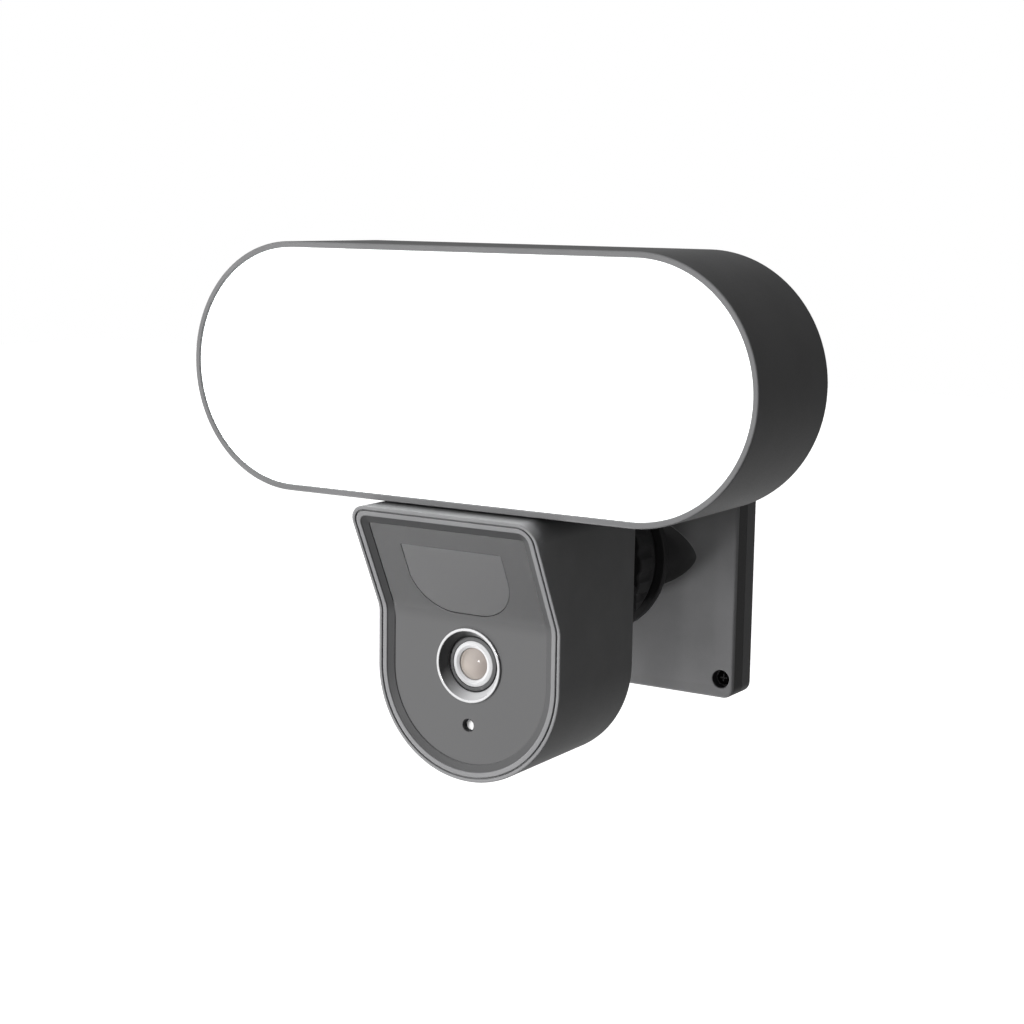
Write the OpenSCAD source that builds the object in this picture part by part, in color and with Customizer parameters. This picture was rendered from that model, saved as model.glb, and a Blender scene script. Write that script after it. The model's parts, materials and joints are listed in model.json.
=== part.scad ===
// Floodlight security camera: a wide lamp on a camera head, held by a ball joint on a wall plate.
// The origin is the centre of the wall face. +Z is up, and the camera looks along -Y.

/* [Wall plate] */
// Width of the wall plate
plate_w = 122; // [100:1:160]
// Height of the wall plate
plate_h = 122; // [100:1:160]
// Thickness of the front moulding
plate_t = 9; // [7:0.5:14]
// Thickness of the base moulding against the wall
base_t = 8.5; // [6:0.5:14]
// Corner radius of the plate, seen from the front
plate_corner = 5; // [2:0.5:15]
// Wall of the hollow plate mouldings
plate_wall = 3; // [2:0.5:4]
// Wall screw spacing, side to side
wall_screw_dx = 110; // [70:1:112]
// Wall screw spacing, top to bottom
wall_screw_dz = 105; // [70:1:112]
// Wall screw hole diameter
wall_hole_d = 4.4; // [3:0.1:6]
// Counterbore diameter for the wall screw head
wall_head_d = 7; // [6:0.1:10]
// Depth of the counterbore
wall_head_depth = 4.5; // [2:0.5:6]

/* [Ball joint] */
// Diameter of the ball
ball_d = 36; // [28:0.5:40]
// Diameter of the stud between the ball and the head
stud_d = 12; // [9:0.5:13]
// Distance from the wall to the ball centre
ball_y = 41.5; // [38:0.5:60]
// Distance from the ball centre to the back of the head
stud_reach = 34.5; // [30:0.5:60]
// Thickness of the nylon liner behind the ball
liner_t = 1.45; // [1:0.05:2.5]
// Wall of the threaded collar around the liner
collar_wall = 9.4; // [6:0.1:12]
// Wall of the grip barrel outside the collar
grip_wall = 3.9; // [3:0.1:8]
// Number of grip flutes on the ring nut
grip_flutes = 20; // [8:1:36]
// Width of the flange behind the ring nut, past the collar
flange_lip = 6; // [4:0.5:10]
// Thickness of the flange behind the ring nut
flange_t = 3.5; // [2:0.5:6]
// How far the wide web on the plate reaches to each side
web_reach = 41; // [37:0.5:48]
// Half height of the wide web on the plate
web_half_h = 16; // [10:0.5:20]
// Foot disc diameter on the back of the head
foot_d = 42; // [36:1:48]
// Foot disc thickness
foot_t = 5; // [4:0.5:8]
// Circle that the foot screws stand on
foot_pcd = 31; // [26:1:34]

/* [Camera head] */
// Width of the head
head_w = 86.8; // [72:0.1:105]
// Height of the head, from its flat top to its round bottom
head_h = 111.7; // [94:0.1:136]
// Height of the flat top above the ball joint's axis
head_top = 32.1; // [26:0.1:40]
// Depth of the head below the visor
head_depth = 58.8; // [50:0.1:72]
// How far the top of the visor leans out over the lower face
visor_reach = 21.9; // [10:0.5:27]
// Height of the leaning part of the face
visor_h = 44.8; // [38:0.1:54]
// Wall of the shell
shell_wall = 2.2; // [1.6:0.1:3]
// Thickness of the back wall of the shell
back_wall = 3; // [2:0.5:5]
// Radius of the two top corners of the shell
shell_corner = 8; // [5:0.5:10]
// Visible thickness of the shell's front lip
lip_t = 1.5; // [1:0.1:2]
// Width of the fine groove between shell and bezel
groove_w = 0.6; // [0.3:0.1:1]
// Width of the flat front of the bezel
bezel_lip = 1.9; // [1:0.1:3]
// Width of the sunk ledge of the bezel
bezel_ledge = 3.1; // [2:0.1:5]
// How deep the face panel sits behind the lip
panel_depth = 1.6; // [1:0.1:3]
// Thickness of the face panel
panel_t = 2; // [1:0.1:3]

/* [Face] */
// Outer diameter of the silver lens ring
lens_ring_d = 30.6; // [24:0.1:32]
// Gap between the lens ring and the bend in the panel
lens_gap = 4; // [3:0.1:8]
// Outer diameter of the inner lens ring
lens_tube_d = 18.8; // [14:0.1:20]
// Diameter of the lens glass
lens_glass_d = 13; // [10:0.1:14]
// How far the inner lens ring sits behind the face panel
lens_sink = 2.5; // [1:0.1:4]
// Diameter of the microphone hole
mic_hole_d = 4.5; // [2:0.1:6]
// Place of the microphone hole, as a share of the way from the lens ring down to the panel's edge
mic_share = 0.333; // [0.3:0.01:0.6]
// Width of the motion sensor window
pir_w = 47; // [36:0.5:48]
// Height of the motion sensor window, along the leaning panel
pir_h = 31; // [26:0.5:36]
// Radius of the two bottom corners of the motion sensor window
pir_corner = 18; // [8:0.5:18]
// Distance of the window's lower edge above the bend in the panel
pir_rise = 2; // [1:0.5:5]

/* [Lamp] */
// Width of the lamp
lamp_w = 260; // [216:1:312]
// Height of the lamp
lamp_h = 101.3; // [84:0.1:122]
// Depth of the lamp
lamp_depth = 60.7; // [50:0.1:73]
// How far the lamp's back stands in front of the head's back
lamp_setback = 10.8; // [0:0.1:20]
// Wall of the lamp housing, seen as the rim
lamp_wall = 2.35; // [1.8:0.05:4]
// How far the diffuser is sunk behind the rim
diffuser_sink = 0.5; // [0:0.1:2]
// Wall of the diffuser dish
diffuser_t = 2; // [1.5:0.1:3]
// Depth of the diffuser dish
diffuser_depth = 13; // [10:0.5:16]
// Thickness of the lamp's back cover
lamp_back_t = 3; // [2:0.5:5]
// Light-emitting diodes in each row
led_columns = 12; // [6:1:16]
// Rows of light-emitting diodes
led_rows = 3; // [2:1:4]
// Spacing of the light-emitting diodes along a row
led_pitch = 15; // [12:0.5:18]

/* [Back port] */
// Width of the rubber port cover
port_w = 13; // [11:0.5:15]
// Height of the rubber port cover
port_h = 12.1; // [11:0.1:15]
// How far the port cover stands out from the head
port_out = 8; // [4:0.5:10]
// Sideways place of the port's centre
port_x = 33.9; // [30:0.1:34]
// Distance of the port's centre below the ball joint's axis
port_drop = 10.5; // [8:0.1:20]

/* [Fits] */
// Gap between pieces that are fitted together
fit_gap = 0.1; // [0.05:0.01:0.3]
// Radial gap in the ball joint and on the stud
run_gap = 0.05; // [0.02:0.01:0.1]
// Gap between moving pieces and what they pass
free_gap = 0.4; // [0.3:0.1:1]

/* [Hidden] */
$fn = 96;
eps = 0.01;

// Wall plate places
wall_y = 0;
base_front_y = wall_y - base_t;
plate_front_y = base_front_y - plate_t;
wall_boss_r = wall_head_d / 2 + 1.5;
plate_screw_dx = plate_w - 47;
plate_screw_dz = plate_h - 47;
small_screw_d = 3;
small_head_d = 5.6;
small_head_t = 2;
gasket_t = 1.5;
gasket_w = 4;
gasket_inset = 14;

// Ball joint places
ball_r = ball_d / 2;
ball_c = wall_y - ball_y;
liner_r = ball_r + run_gap + liner_t;
seat_r = liner_r + fit_gap;
collar_r = seat_r + collar_wall;
nut_in_r = collar_r + run_gap;
grip_r = nut_in_r + grip_wall;
skirt_r = nut_in_r + 2;
flange_r = collar_r + flange_lip;
collar_front_y = ball_c - 4.5;
clamp_t = 3.3;
clamp_front_y = collar_front_y - fit_gap - clamp_t;
nut_face_t = 2;
nut_front_y = clamp_front_y - fit_gap - nut_face_t;
grip_l = 12;
skirt_l = 4.5;
nut_back_y = nut_front_y + grip_l + skirt_l;
flange_front_y = nut_back_y + free_gap;
flange_back_y = flange_front_y + flange_t;
mouth_r = ball_r - 0.4;
liner_edge_angle = 74;
core_r = ball_r + 3.5;
web_front_r = flange_r - 3.5;
web_arc_r = (web_reach * web_reach + web_half_h * web_half_h) / (2 * web_half_h);
stud_r = stud_d / 2;

// Head places
head_back_y = ball_c - stud_reach;
head_front_y = head_back_y - head_depth;
head_r = head_w / 2;
arc_z = head_top - head_h + head_r;
bend_z = head_top - visor_h;
visor_angle = atan(visor_reach / visor_h);
bezel_r = head_r - lip_t - groove_w;
shell_in_r = bezel_r + fit_gap;
bezel_in_r = bezel_r - bezel_lip;
panel_r = bezel_in_r - fit_gap;
window_r = bezel_in_r - bezel_ledge;
bezel_corner = shell_corner - lip_t - groove_w;
bezel_in_corner = max(1, bezel_corner - bezel_lip);
panel_corner = max(0.8, bezel_in_corner - fit_gap);
window_corner = max(0.8, bezel_in_corner - bezel_ledge);
bezel_l = 9;
frame_t = 2;
frame_y = panel_depth + fit_gap + panel_t + fit_gap;
seal_t = 1.2;
lens_z = bend_z - lens_gap - lens_ring_d / 2;
lens_low_z = lens_z - lens_ring_d / 2;
mic_z = lens_low_z - mic_share * (lens_low_z - (arc_z - panel_r));
panel_y = head_front_y + panel_depth + fit_gap;
frame_back_y = head_front_y + frame_y + frame_t;
ring_seat_r = lens_ring_d / 2 - 0.8;
funnel_r = (lens_tube_d + (lens_ring_d - lens_tube_d) * 0.37) / 2;
lens_y = panel_y + lens_sink;
mic_ledge = 0.8;
board_t = 1.6;

// Foot and stud places
foot_back_y = head_back_y + foot_t;
inner_back_y = head_back_y - back_wall;
backing_t = 3;
backing_y = inner_back_y - fit_gap - backing_t;
washer_t = 2;
stud_nut_t = 5;
stud_end_y = backing_y - 2 * fit_gap - washer_t - stud_nut_t - 1;

// Shell screw places, as [x, z] pairs
top_screw_x = head_r - 10.4;
top_screw_z = head_top - 8.5;
low_screw_x = head_r * 0.55;
low_screw_z = arc_z - head_r * 0.5;
shell_screw_spots = [
    [-top_screw_x, top_screw_z], [top_screw_x, top_screw_z],
    [-low_screw_x, low_screw_z], [low_screw_x, low_screw_z]
];
pillar_d = 7;

// Boards in the head
main_board_w = 60;
main_board_h = 56;
main_board_z = arc_z + 12;
main_board_y = head_front_y + 27;
sensor_board_y = head_front_y + 17;
speaker_d = 28;
speaker_t = 6;
speaker_z = arc_z - 16;
speaker_gasket_t = 1;
grille_slots = 5;
grille_pitch = 4;

// Port places
port_z = -port_drop;
recess_w = port_w - 3;
recess_h = port_h - 3;
port_floor_y = head_back_y - 3.4;
plug_depth = 1.6;
button_d = 3;
button_travel = 0.8;
button_flange_t = 1;
button_flange_y = inner_back_y - 3.4 - button_flange_t;
spring_wire_d = 0.4;
spring_turns = 4;
spring_l = 2.6;
switch_y = button_flange_y - spring_l - 0.05;
button_z = port_z - 2.6;
socket_z = port_z + 1.9;

// Lamp places
lamp_back_y = head_back_y - lamp_setback;
lamp_front_y = lamp_back_y - lamp_depth;
lamp_z = head_top + seal_t + lamp_h / 2;
lamp_in_h = lamp_h - 2 * lamp_wall;
diffuser_front_y = lamp_front_y + diffuser_sink;
diffuser_back_y = diffuser_front_y + diffuser_depth;
shelf_y = diffuser_back_y + seal_t;
shelf_t = 3;
shelf_w = 6;
spreader_t = 3;
spreader_y = shelf_y + shelf_t + fit_gap;
led_t = 0.7;
led_size = 2.8;
reflector_t = 0.6;
led_board_w = led_pitch * led_columns + 6;
led_row_pitch = (lamp_in_h - 2 * shelf_w) / (led_rows + 0.6);
led_board_h = led_row_pitch * (led_rows - 1) + 14;
driver_y = spreader_y + spreader_t + 9;
driver_w = 120;
driver_h = 56;
back_front_y = lamp_back_y - lamp_back_t;
back_screw_x = lamp_w / 2 - lamp_h / 2;
back_boss_d = 8;
back_screw_z = lamp_in_h / 2 - back_boss_d / 2 + 0.5;
wire_hole_d = 10;
joint_y = (spreader_y + spreader_t + back_front_y) / 2;
joint_screw_dx = 46;
joint_screw_dy = 24;

// A flat outline in x and z, made solid from y0 to y1.
module along_y(y0, y1) {
    translate([0, y1, 0])
        rotate([90, 0, 0])
            linear_extrude(y1 - y0)
                children();
}

// A flat outline in y and z, made solid across the width w about x = 0.
module along_x(w) {
    translate([-w / 2, 0, 0])
        rotate([90, 0, 90])
            linear_extrude(w)
                children();
}

// A round bar along y from y0 to y1.
module bar_y(r, y0, y1) {
    translate([0, y1, 0])
        rotate([90, 0, 0])
            cylinder(r = r, h = y1 - y0);
}

// A cone along y, with radius r0 at y0 and r1 at y1.
module cone_y(r0, r1, y0, y1) {
    translate([0, y1, 0])
        rotate([90, 0, 0])
            cylinder(r1 = r1, r2 = r0, h = y1 - y0);
}

// A turned shape about the y axis, from an outline of radius and y.
module turned_y() {
    rotate([-90, 0, 0])
        mirror([0, 1, 0])
            rotate_extrude()
                children();
}

// A rectangle centred on the origin with round corners.
module round_rect(w, h, r) {
    square([w - 2 * r, h], center = true);
    square([w, h - 2 * r], center = true);
    for (sx = [-1, 1], sz = [-1, 1])
        translate([sx * (w / 2 - r), sz * (h / 2 - r)])
            circle(r);
}

// A stadium outline: straight top and bottom, half-round ends.
module stadium(w, h) {
    square([w - h, h], center = true);
    for (sx = [-1, 1])
        translate([sx * (w - h) / 2, 0])
            circle(h / 2);
}

// Copies its child at the four corners of a rectangle in x and z.
module four_corners(dx, dz) {
    for (sx = [-1, 1], sz = [-1, 1])
        translate([sx * dx / 2, 0, sz * dz / 2])
            children();
}

// A pan-head screw along y: its head is at y0 and its tip points to -y.
module screw_y(y0, shank_l, d, head_d, head_t) {
    difference() {
        union() {
            bar_y(head_d / 2, y0, y0 + head_t);
            bar_y(d / 2, y0 - shank_l, y0 + eps);
        }
        translate([0, y0 + head_t, 0])
            for (a = [0, 90])
                rotate([0, a, 0])
                    cube([head_d * 0.6, head_t, 0.8], center = true);
    }
}

// ---- Wall plate ----

module plate_outline(grow = 0) {
    round_rect(plate_w + 2 * grow, plate_h + 2 * grow, max(1, plate_corner + grow));
}

module wall_base() {
    color("dimgray")
        difference() {
            union() {
                difference() {
                    along_y(base_front_y, wall_y) plate_outline();
                    along_y(base_front_y - eps, wall_y - plate_wall) plate_outline(-plate_wall);
                }
                four_corners(wall_screw_dx, wall_screw_dz)
                    bar_y(wall_boss_r, base_front_y, wall_y - 1);
                four_corners(plate_screw_dx, plate_screw_dz)
                    bar_y(small_head_d / 2 + 2, base_front_y, wall_y - 1);
            }
            four_corners(wall_screw_dx, wall_screw_dz)
                bar_y(wall_hole_d / 2, base_front_y - eps, wall_y + eps);
            four_corners(plate_screw_dx, plate_screw_dz) {
                bar_y(small_screw_d / 2 + fit_gap, base_front_y - eps, wall_y + eps);
                bar_y(small_head_d / 2 + fit_gap, wall_y - small_head_t - 1, wall_y + eps);
            }
            along_y(wall_y - gasket_t, wall_y + eps) gasket_outline(fit_gap);
        }
}

module gasket_outline(grow = 0) {
    difference() {
        plate_outline(-gasket_inset + grow);
        plate_outline(-gasket_inset - gasket_w - grow);
    }
}

module wall_gasket() {
    color("black")
        along_y(wall_y - gasket_t, wall_y) gasket_outline();
}

// The wide web behind the flange: two flat arcs that meet at the sides, spreading towards the plate.
module web() {
    y0 = flange_back_y - eps;
    y1 = plate_front_y + eps;
    intersection() {
        translate([0, 0, web_arc_r - web_half_h]) bar_y(web_arc_r, y0 - 1, y1);
        translate([0, 0, web_half_h - web_arc_r]) bar_y(web_arc_r, y0, y1 + 1);
        cone_y(web_front_r, web_reach, y0, y1 + 0.5);
    }
}

module wall_plate() {
    color("dimgray")
        difference() {
            union() {
                difference() {
                    along_y(plate_front_y, base_front_y) plate_outline();
                    along_y(plate_front_y + plate_wall, base_front_y + eps) plate_outline(-plate_wall);
                }
                four_corners(wall_screw_dx, wall_screw_dz)
                    bar_y(wall_boss_r, plate_front_y + 1, base_front_y);
                four_corners(plate_screw_dx, plate_screw_dz)
                    bar_y(small_head_d / 2 + 1, plate_front_y + 1, base_front_y);
                bar_y(core_r, flange_back_y - eps, plate_front_y + plate_wall);
                bar_y(core_r - 4, plate_front_y, base_front_y);
                web();
                bar_y(flange_r, flange_front_y, flange_back_y);
                bar_y(collar_r, collar_front_y, flange_front_y + eps);
            }
            translate([0, ball_c, 0]) sphere(seat_r);
            bar_y(seat_r, collar_front_y - eps, ball_c);
            four_corners(wall_screw_dx, wall_screw_dz) {
                bar_y(wall_hole_d / 2, plate_front_y - eps, base_front_y + eps);
                bar_y(wall_head_d / 2, plate_front_y - eps, plate_front_y + wall_head_depth);
            }
            four_corners(plate_screw_dx, plate_screw_dz)
                bar_y(small_screw_d / 2, plate_front_y + plate_wall, base_front_y + eps);
        }
}

module plate_screws() {
    color("silver")
        four_corners(plate_screw_dx, plate_screw_dz)
            screw_y(wall_y - small_head_t - 1, base_t - small_head_t - 1 + plate_t - plate_wall - 1,
                small_screw_d, small_head_d, small_head_t);
}

// ---- Ball joint ----

module clamp_ring() {
    color("white")
        difference() {
            bar_y(collar_r - 0.4, clamp_front_y, clamp_front_y + clamp_t);
            translate([0, ball_c, 0]) sphere(ball_r + run_gap);
        }
}

module ring_nut() {
    flute_r = 2.2;
    color("dimgray")
        difference() {
            union() {
                bar_y(grip_r, nut_front_y, nut_front_y + grip_l);
                bar_y(skirt_r, nut_front_y + grip_l - eps, nut_back_y);
            }
            bar_y(nut_in_r, nut_front_y + nut_face_t, nut_back_y + eps);
            bar_y(mouth_r, nut_front_y - eps, nut_back_y);
            cone_y(mouth_r + 2.2, mouth_r - eps, nut_front_y - eps, nut_front_y + nut_face_t);
            for (i = [0 : grip_flutes - 1])
                rotate([0, i * 360 / grip_flutes, 0])
                    translate([grip_r + flute_r - 1, 0, 0])
                        bar_y(flute_r, nut_front_y - 1, nut_front_y + grip_l - 1.5);
        }
}

module seat_liner() {
    edge_y = ball_c + liner_r * cos(liner_edge_angle);
    color("white")
        difference() {
            translate([0, ball_c, 0]) sphere(liner_r);
            translate([0, ball_c, 0]) sphere(ball_r + run_gap);
            bar_y(liner_r + 5, ball_c - liner_r - 5, edge_y);
        }
}

module ball_stud() {
    shoulder_y = foot_back_y + fit_gap;
    color("silver")
        union() {
            translate([0, ball_c, 0]) sphere(ball_r);
            bar_y(stud_r, shoulder_y, ball_c);
            bar_y(stud_r - 2, stud_end_y, shoulder_y + eps);
        }
}

module stud_washer() {
    color("silver")
        difference() {
            bar_y(stud_r + 3, backing_y - fit_gap - washer_t, backing_y - fit_gap);
            bar_y(stud_r - 2 + run_gap, backing_y - 10, backing_y);
        }
}

module stud_nut() {
    nut_y1 = backing_y - 2 * fit_gap - washer_t;
    color("silver")
        difference() {
            translate([0, nut_y1, 0])
                rotate([90, 30, 0])
                    cylinder(r = stud_r + 1.5, h = stud_nut_t, $fn = 6);
            bar_y(stud_r - 2, nut_y1 - stud_nut_t - eps, nut_y1 + eps);
        }
}

module foot_spots() {
    for (a = [45 : 90 : 315])
        rotate([0, a, 0])
            translate([foot_pcd / 2, 0, 0])
                children();
}

module mount_foot() {
    color("dimgray")
        difference() {
            union() {
                bar_y(foot_d / 2, head_back_y, foot_back_y - 1);
                cone_y(foot_d / 2, foot_d / 2 - 1, foot_back_y - 1 - eps, foot_back_y);
            }
            bar_y(stud_r - 2 + run_gap, head_back_y - eps, foot_back_y + eps);
            bar_y(foot_d / 2 - 2, head_back_y - eps, head_back_y + 1);
            foot_spots() {
                bar_y(small_screw_d / 2 + fit_gap, head_back_y - eps, foot_back_y + eps);
                bar_y(small_head_d / 2 + fit_gap, foot_back_y - small_head_t - 0.3, foot_back_y + eps);
            }
        }
}

module foot_seal() {
    color("black")
        difference() {
            bar_y(foot_d / 2 - 2 - fit_gap, head_back_y, head_back_y + 1 - fit_gap);
            bar_y(stud_r + 1, head_back_y - eps, head_back_y + 1);
            foot_spots()
                bar_y(small_screw_d / 2 + fit_gap, head_back_y - eps, head_back_y + 1);
        }
}

module foot_screws() {
    color("silver")
        foot_spots()
            screw_y(foot_back_y - small_head_t - 0.3, foot_t - small_head_t - 0.3 + back_wall + backing_t,
                small_screw_d, small_head_d, small_head_t);
}

module backing_plate() {
    color("silver")
        difference() {
            bar_y(foot_d / 2 - 1, backing_y, backing_y + backing_t);
            bar_y(stud_r - 2 + run_gap, backing_y - eps, backing_y + backing_t + eps);
            foot_spots()
                bar_y(small_screw_d / 2, backing_y - eps, backing_y + backing_t + eps);
        }
}

// ---- Camera head ----

// The head's outline from the front: flat top, round bottom, for a wall offset of r.
module head_outline(r, corner) {
    inset = head_r - r;
    top = head_top - inset;
    translate([0, arc_z]) circle(r, $fn = 144);
    translate([-r, arc_z]) square([2 * r, top - corner - arc_z]);
    translate([-r + corner, arc_z]) square([2 * (r - corner), top - arc_z]);
    for (s = [-1, 1])
        translate([s * (r - corner), top - corner])
            circle(corner);
}

// The space behind the bent face, from depth d0 to depth d1 behind the front lip.
module face_band(d0, d1) {
    low = arc_z - head_r - 5;
    high = head_top + 5;
    lean = visor_reach * (high - bend_z) / visor_h;
    along_x(head_w + 40)
        polygon([
            [head_front_y + d0 - lean, high], [head_front_y + d0, bend_z], [head_front_y + d0, low],
            [head_front_y + d1, low], [head_front_y + d1, bend_z], [head_front_y + d1 - lean, high]
        ]);
}

// Everything behind the bent face at depth d, back to the plane y1.
module behind_face(d, y1) {
    low = arc_z - head_r - 5;
    high = head_top + 5;
    lean = visor_reach * (high - bend_z) / visor_h;
    along_x(head_w + 40)
        polygon([
            [head_front_y + d - lean, high], [head_front_y + d, bend_z],
            [head_front_y + d, low], [y1, low], [y1, high]
        ]);
}

// A full-depth prism of the head's outline.
module head_prism(r, corner) {
    along_y(head_front_y - visor_reach - 10, head_back_y + 10) head_outline(r, corner);
}

// Puts its child, drawn about y = 0 and z = 0, on the leaning part of the face panel.
module on_visor() {
    translate([0, panel_y, bend_z])
        rotate([visor_angle, 0, 0])
            children();
}

module port_recess(grow = 0) {
    translate([port_x, port_z])
        round_rect(recess_w + 2 * grow, recess_h + 2 * grow, 1.5);
}

module camera_shell() {
    color("dimgray")
        difference() {
            intersection() {
                head_prism(head_r, shell_corner);
                behind_face(0, head_back_y);
            }
            intersection() {
                head_prism(shell_in_r, bezel_corner + fit_gap);
                behind_face(-9, inner_back_y);
            }
            intersection() {
                head_prism(head_r - lip_t, shell_corner - lip_t);
                face_band(-1, 0.8);
            }
            bar_y(stud_r + 1, inner_back_y - eps, head_back_y + eps);
            foot_spots()
                bar_y(small_screw_d / 2 + fit_gap, inner_back_y - eps, head_back_y + eps);
            for (p = shell_screw_spots)
                translate([p[0], 0, p[1]]) {
                    bar_y(small_screw_d / 2 + fit_gap, inner_back_y - eps, head_back_y + eps);
                    bar_y(small_head_d / 2 + fit_gap, head_back_y - small_head_t, head_back_y + eps);
                }
            along_y(inner_back_y - eps, head_back_y + eps) port_recess(1);
            for (i = [0 : grille_slots - 1])
                translate([0, 0, speaker_z + (i - (grille_slots - 1) / 2) * grille_pitch])
                    along_y(inner_back_y - eps, head_back_y + eps) stadium(18, 1.6);
            top_openings(head_top - shell_wall - 1, head_top + 1);
        }
}

// The wire hole and the screw holes between the head and the lamp.
module top_openings(z0, z1) {
    translate([0, joint_y, z0]) {
        cylinder(r = wire_hole_d / 2, h = z1 - z0);
        for (sx = [-1, 1], sy = [-1, 1])
            translate([sx * joint_screw_dx / 2, sy * joint_screw_dy / 2, 0])
                cylinder(r = small_screw_d / 2 + fit_gap, h = z1 - z0);
    }
}

module shell_screws() {
    color("silver")
        for (p = shell_screw_spots)
            translate([p[0], 0, p[1]])
                screw_y(head_back_y - small_head_t, back_wall - small_head_t + 12,
                    small_screw_d, small_head_d, small_head_t);
}

module face_bezel() {
    color("dimgray")
        difference() {
            intersection() {
                head_prism(bezel_r, bezel_corner);
                face_band(0, bezel_l);
            }
            intersection() {
                head_prism(bezel_in_r, bezel_in_corner);
                union() {
                    face_band(-1, panel_depth - 0.8);
                    face_band(panel_depth, bezel_l + 1);
                }
            }
            head_prism(window_r, window_corner);
        }
}

module bezel_seal() {
    color("black")
        difference() {
            intersection() {
                head_prism(bezel_r, bezel_corner);
                face_band(bezel_l + fit_gap, bezel_l + fit_gap + seal_t);
            }
            head_prism(bezel_in_r - 1, panel_corner);
        }
}

module pir_outline(grow = 0) {
    w = pir_w + 2 * grow;
    low = pir_rise - grow;
    high = pir_rise + pir_h + grow;
    r = pir_corner + grow;
    translate([-w / 2, low + r]) square([w, high - low - r]);
    translate([-w / 2 + r, low]) square([w - 2 * r, high - low]);
    intersection() {
        union()
            for (s = [-1, 1])
                translate([s * (w / 2 - r), low + r])
                    circle(r);
        translate([-w / 2 - 1, low - 1]) square([w + 2, r + 1]);
    }
}

module face_panel() {
    color([0.3, 0.3, 0.31])
        difference() {
            intersection() {
                head_prism(panel_r, panel_corner);
                face_band(panel_depth + fit_gap, panel_depth + fit_gap + panel_t);
            }
            on_visor() along_y(-5, 5) pir_outline(fit_gap);
            translate([0, 0, lens_z]) bar_y(ring_seat_r + fit_gap, panel_y - 3, panel_y + 5);
            translate([0, 0, mic_z]) bar_y(mic_hole_d / 2, panel_y - 3, panel_y + 5);
        }
}

module inner_frame() {
    color([0.2, 0.2, 0.2])
        difference() {
            union() {
                intersection() {
                    head_prism(panel_r, panel_corner);
                    face_band(frame_y, frame_y + frame_t);
                }
                intersection() {
                    behind_face(frame_y + eps, inner_back_y);
                    union() {
                        for (p = shell_screw_spots)
                            translate([p[0], 0, p[1]])
                                bar_y(pillar_d / 2, head_front_y - visor_reach, inner_back_y - fit_gap);
                        four_corners_at(main_board_z, main_board_w - 8, main_board_h - 8)
                            bar_y(2.5, head_front_y - visor_reach, main_board_y);
                    }
                }
            }
            on_visor() along_y(-5, 12) pir_outline(-2);
            translate([0, 0, lens_z]) bar_y(ring_seat_r + fit_gap, panel_y - 3, frame_back_y + 1);
            translate([0, 0, mic_z]) bar_y(mic_hole_d / 2 + 1.7, panel_y - 3, frame_back_y + 1);
            for (p = shell_screw_spots)
                translate([p[0], 0, p[1]])
                    bar_y(small_screw_d / 2, inner_back_y - 13, inner_back_y + 1);
            four_corners_at(main_board_z, main_board_w - 8, main_board_h - 8)
                bar_y(1, main_board_y - 6, main_board_y + 1);
        }
}

// Copies its child at four corners about the height zc.
module four_corners_at(zc, dx, dz) {
    translate([0, 0, zc])
        four_corners(dx, dz)
            children();
}

module pir_window() {
    color("gray")
        on_visor() along_y(0, panel_t * cos(visor_angle)) pir_outline();
}

module pir_sensor() {
    can_z = pir_rise + pir_h / 2;
    color("silver")
        on_visor()
            translate([0, 0, can_z]) {
                bar_y(4.1, 9, 13);
                bar_y(4.6, 12.4, 13.4);
            }
}

module pir_board() {
    can_z = pir_rise + pir_h / 2;
    color("green")
        on_visor()
            translate([0, 0, can_z])
                along_y(13.5, 13.5 + board_t) round_rect(30, 20, 2);
}

module lens_ring() {
    r = lens_ring_d / 2;
    color("silver")
        translate([0, 0, lens_z])
            turned_y()
                polygon([
                    [ring_seat_r, lens_y + 1.6], [ring_seat_r, panel_y], [r, panel_y], [r, panel_y - 0.5],
                    [r - 0.4, panel_y - 0.9], [r - 1.2, panel_y - 0.9], [funnel_r, lens_y + 0.5],
                    [funnel_r, lens_y + 1.6]
                ]);
}

// The black barrel: a sunk floor inside the silver funnel, and a low cone round the inner ring.
module lens_recess() {
    r = funnel_r - fit_gap;
    t = lens_tube_d / 2 + fit_gap;
    color("black")
        translate([0, 0, lens_z])
            turned_y()
                polygon([
                    [r, lens_y + 1.2], [r - 0.5, lens_y + 1.2], [r - 0.5, lens_y + 0.6], [t, lens_y + 0.1],
                    [t, lens_y + 9.5], [t + 1.2, lens_y + 9.5], [t + 1.2, lens_y + 3.5], [r, lens_y + 3.5]
                ]);
}

module lens_tube() {
    t = lens_tube_d / 2;
    g = lens_glass_d / 2 + fit_gap;
    color("lightgray")
        translate([0, 0, lens_z])
            turned_y()
                polygon([
                    [t, lens_y + 0.5], [g + 1.2, lens_y], [g, lens_y + 0.7], [g, lens_y + 3.4],
                    [g - 1.5, lens_y + 3.4], [g - 1.5, sensor_board_y - 2], [t, sensor_board_y - 2]
                ]);
}

module lens_glass() {
    g = lens_glass_d / 2;
    dome = 2.4;
    dome_r = (g * g + dome * dome) / (2 * dome);
    color([0.6, 0.55, 0.5])
        translate([0, 0, lens_z])
            intersection() {
                bar_y(g, lens_y - 3, lens_y + 3.3);
                translate([0, lens_y + 1.1 - dome + dome_r, 0]) sphere(dome_r);
            }
}

module sensor_board() {
    color("green")
        translate([0, 0, lens_z])
            difference() {
                along_y(sensor_board_y, sensor_board_y + board_t) round_rect(24, 24, 1.5);
                four_corners(18, 18) bar_y(1, sensor_board_y - 1, sensor_board_y + board_t + 1);
            }
    color("black")
        translate([0, 0, lens_z])
            along_y(sensor_board_y - 1.9, sensor_board_y + eps) round_rect(12, 12, 0.5);
}

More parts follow.
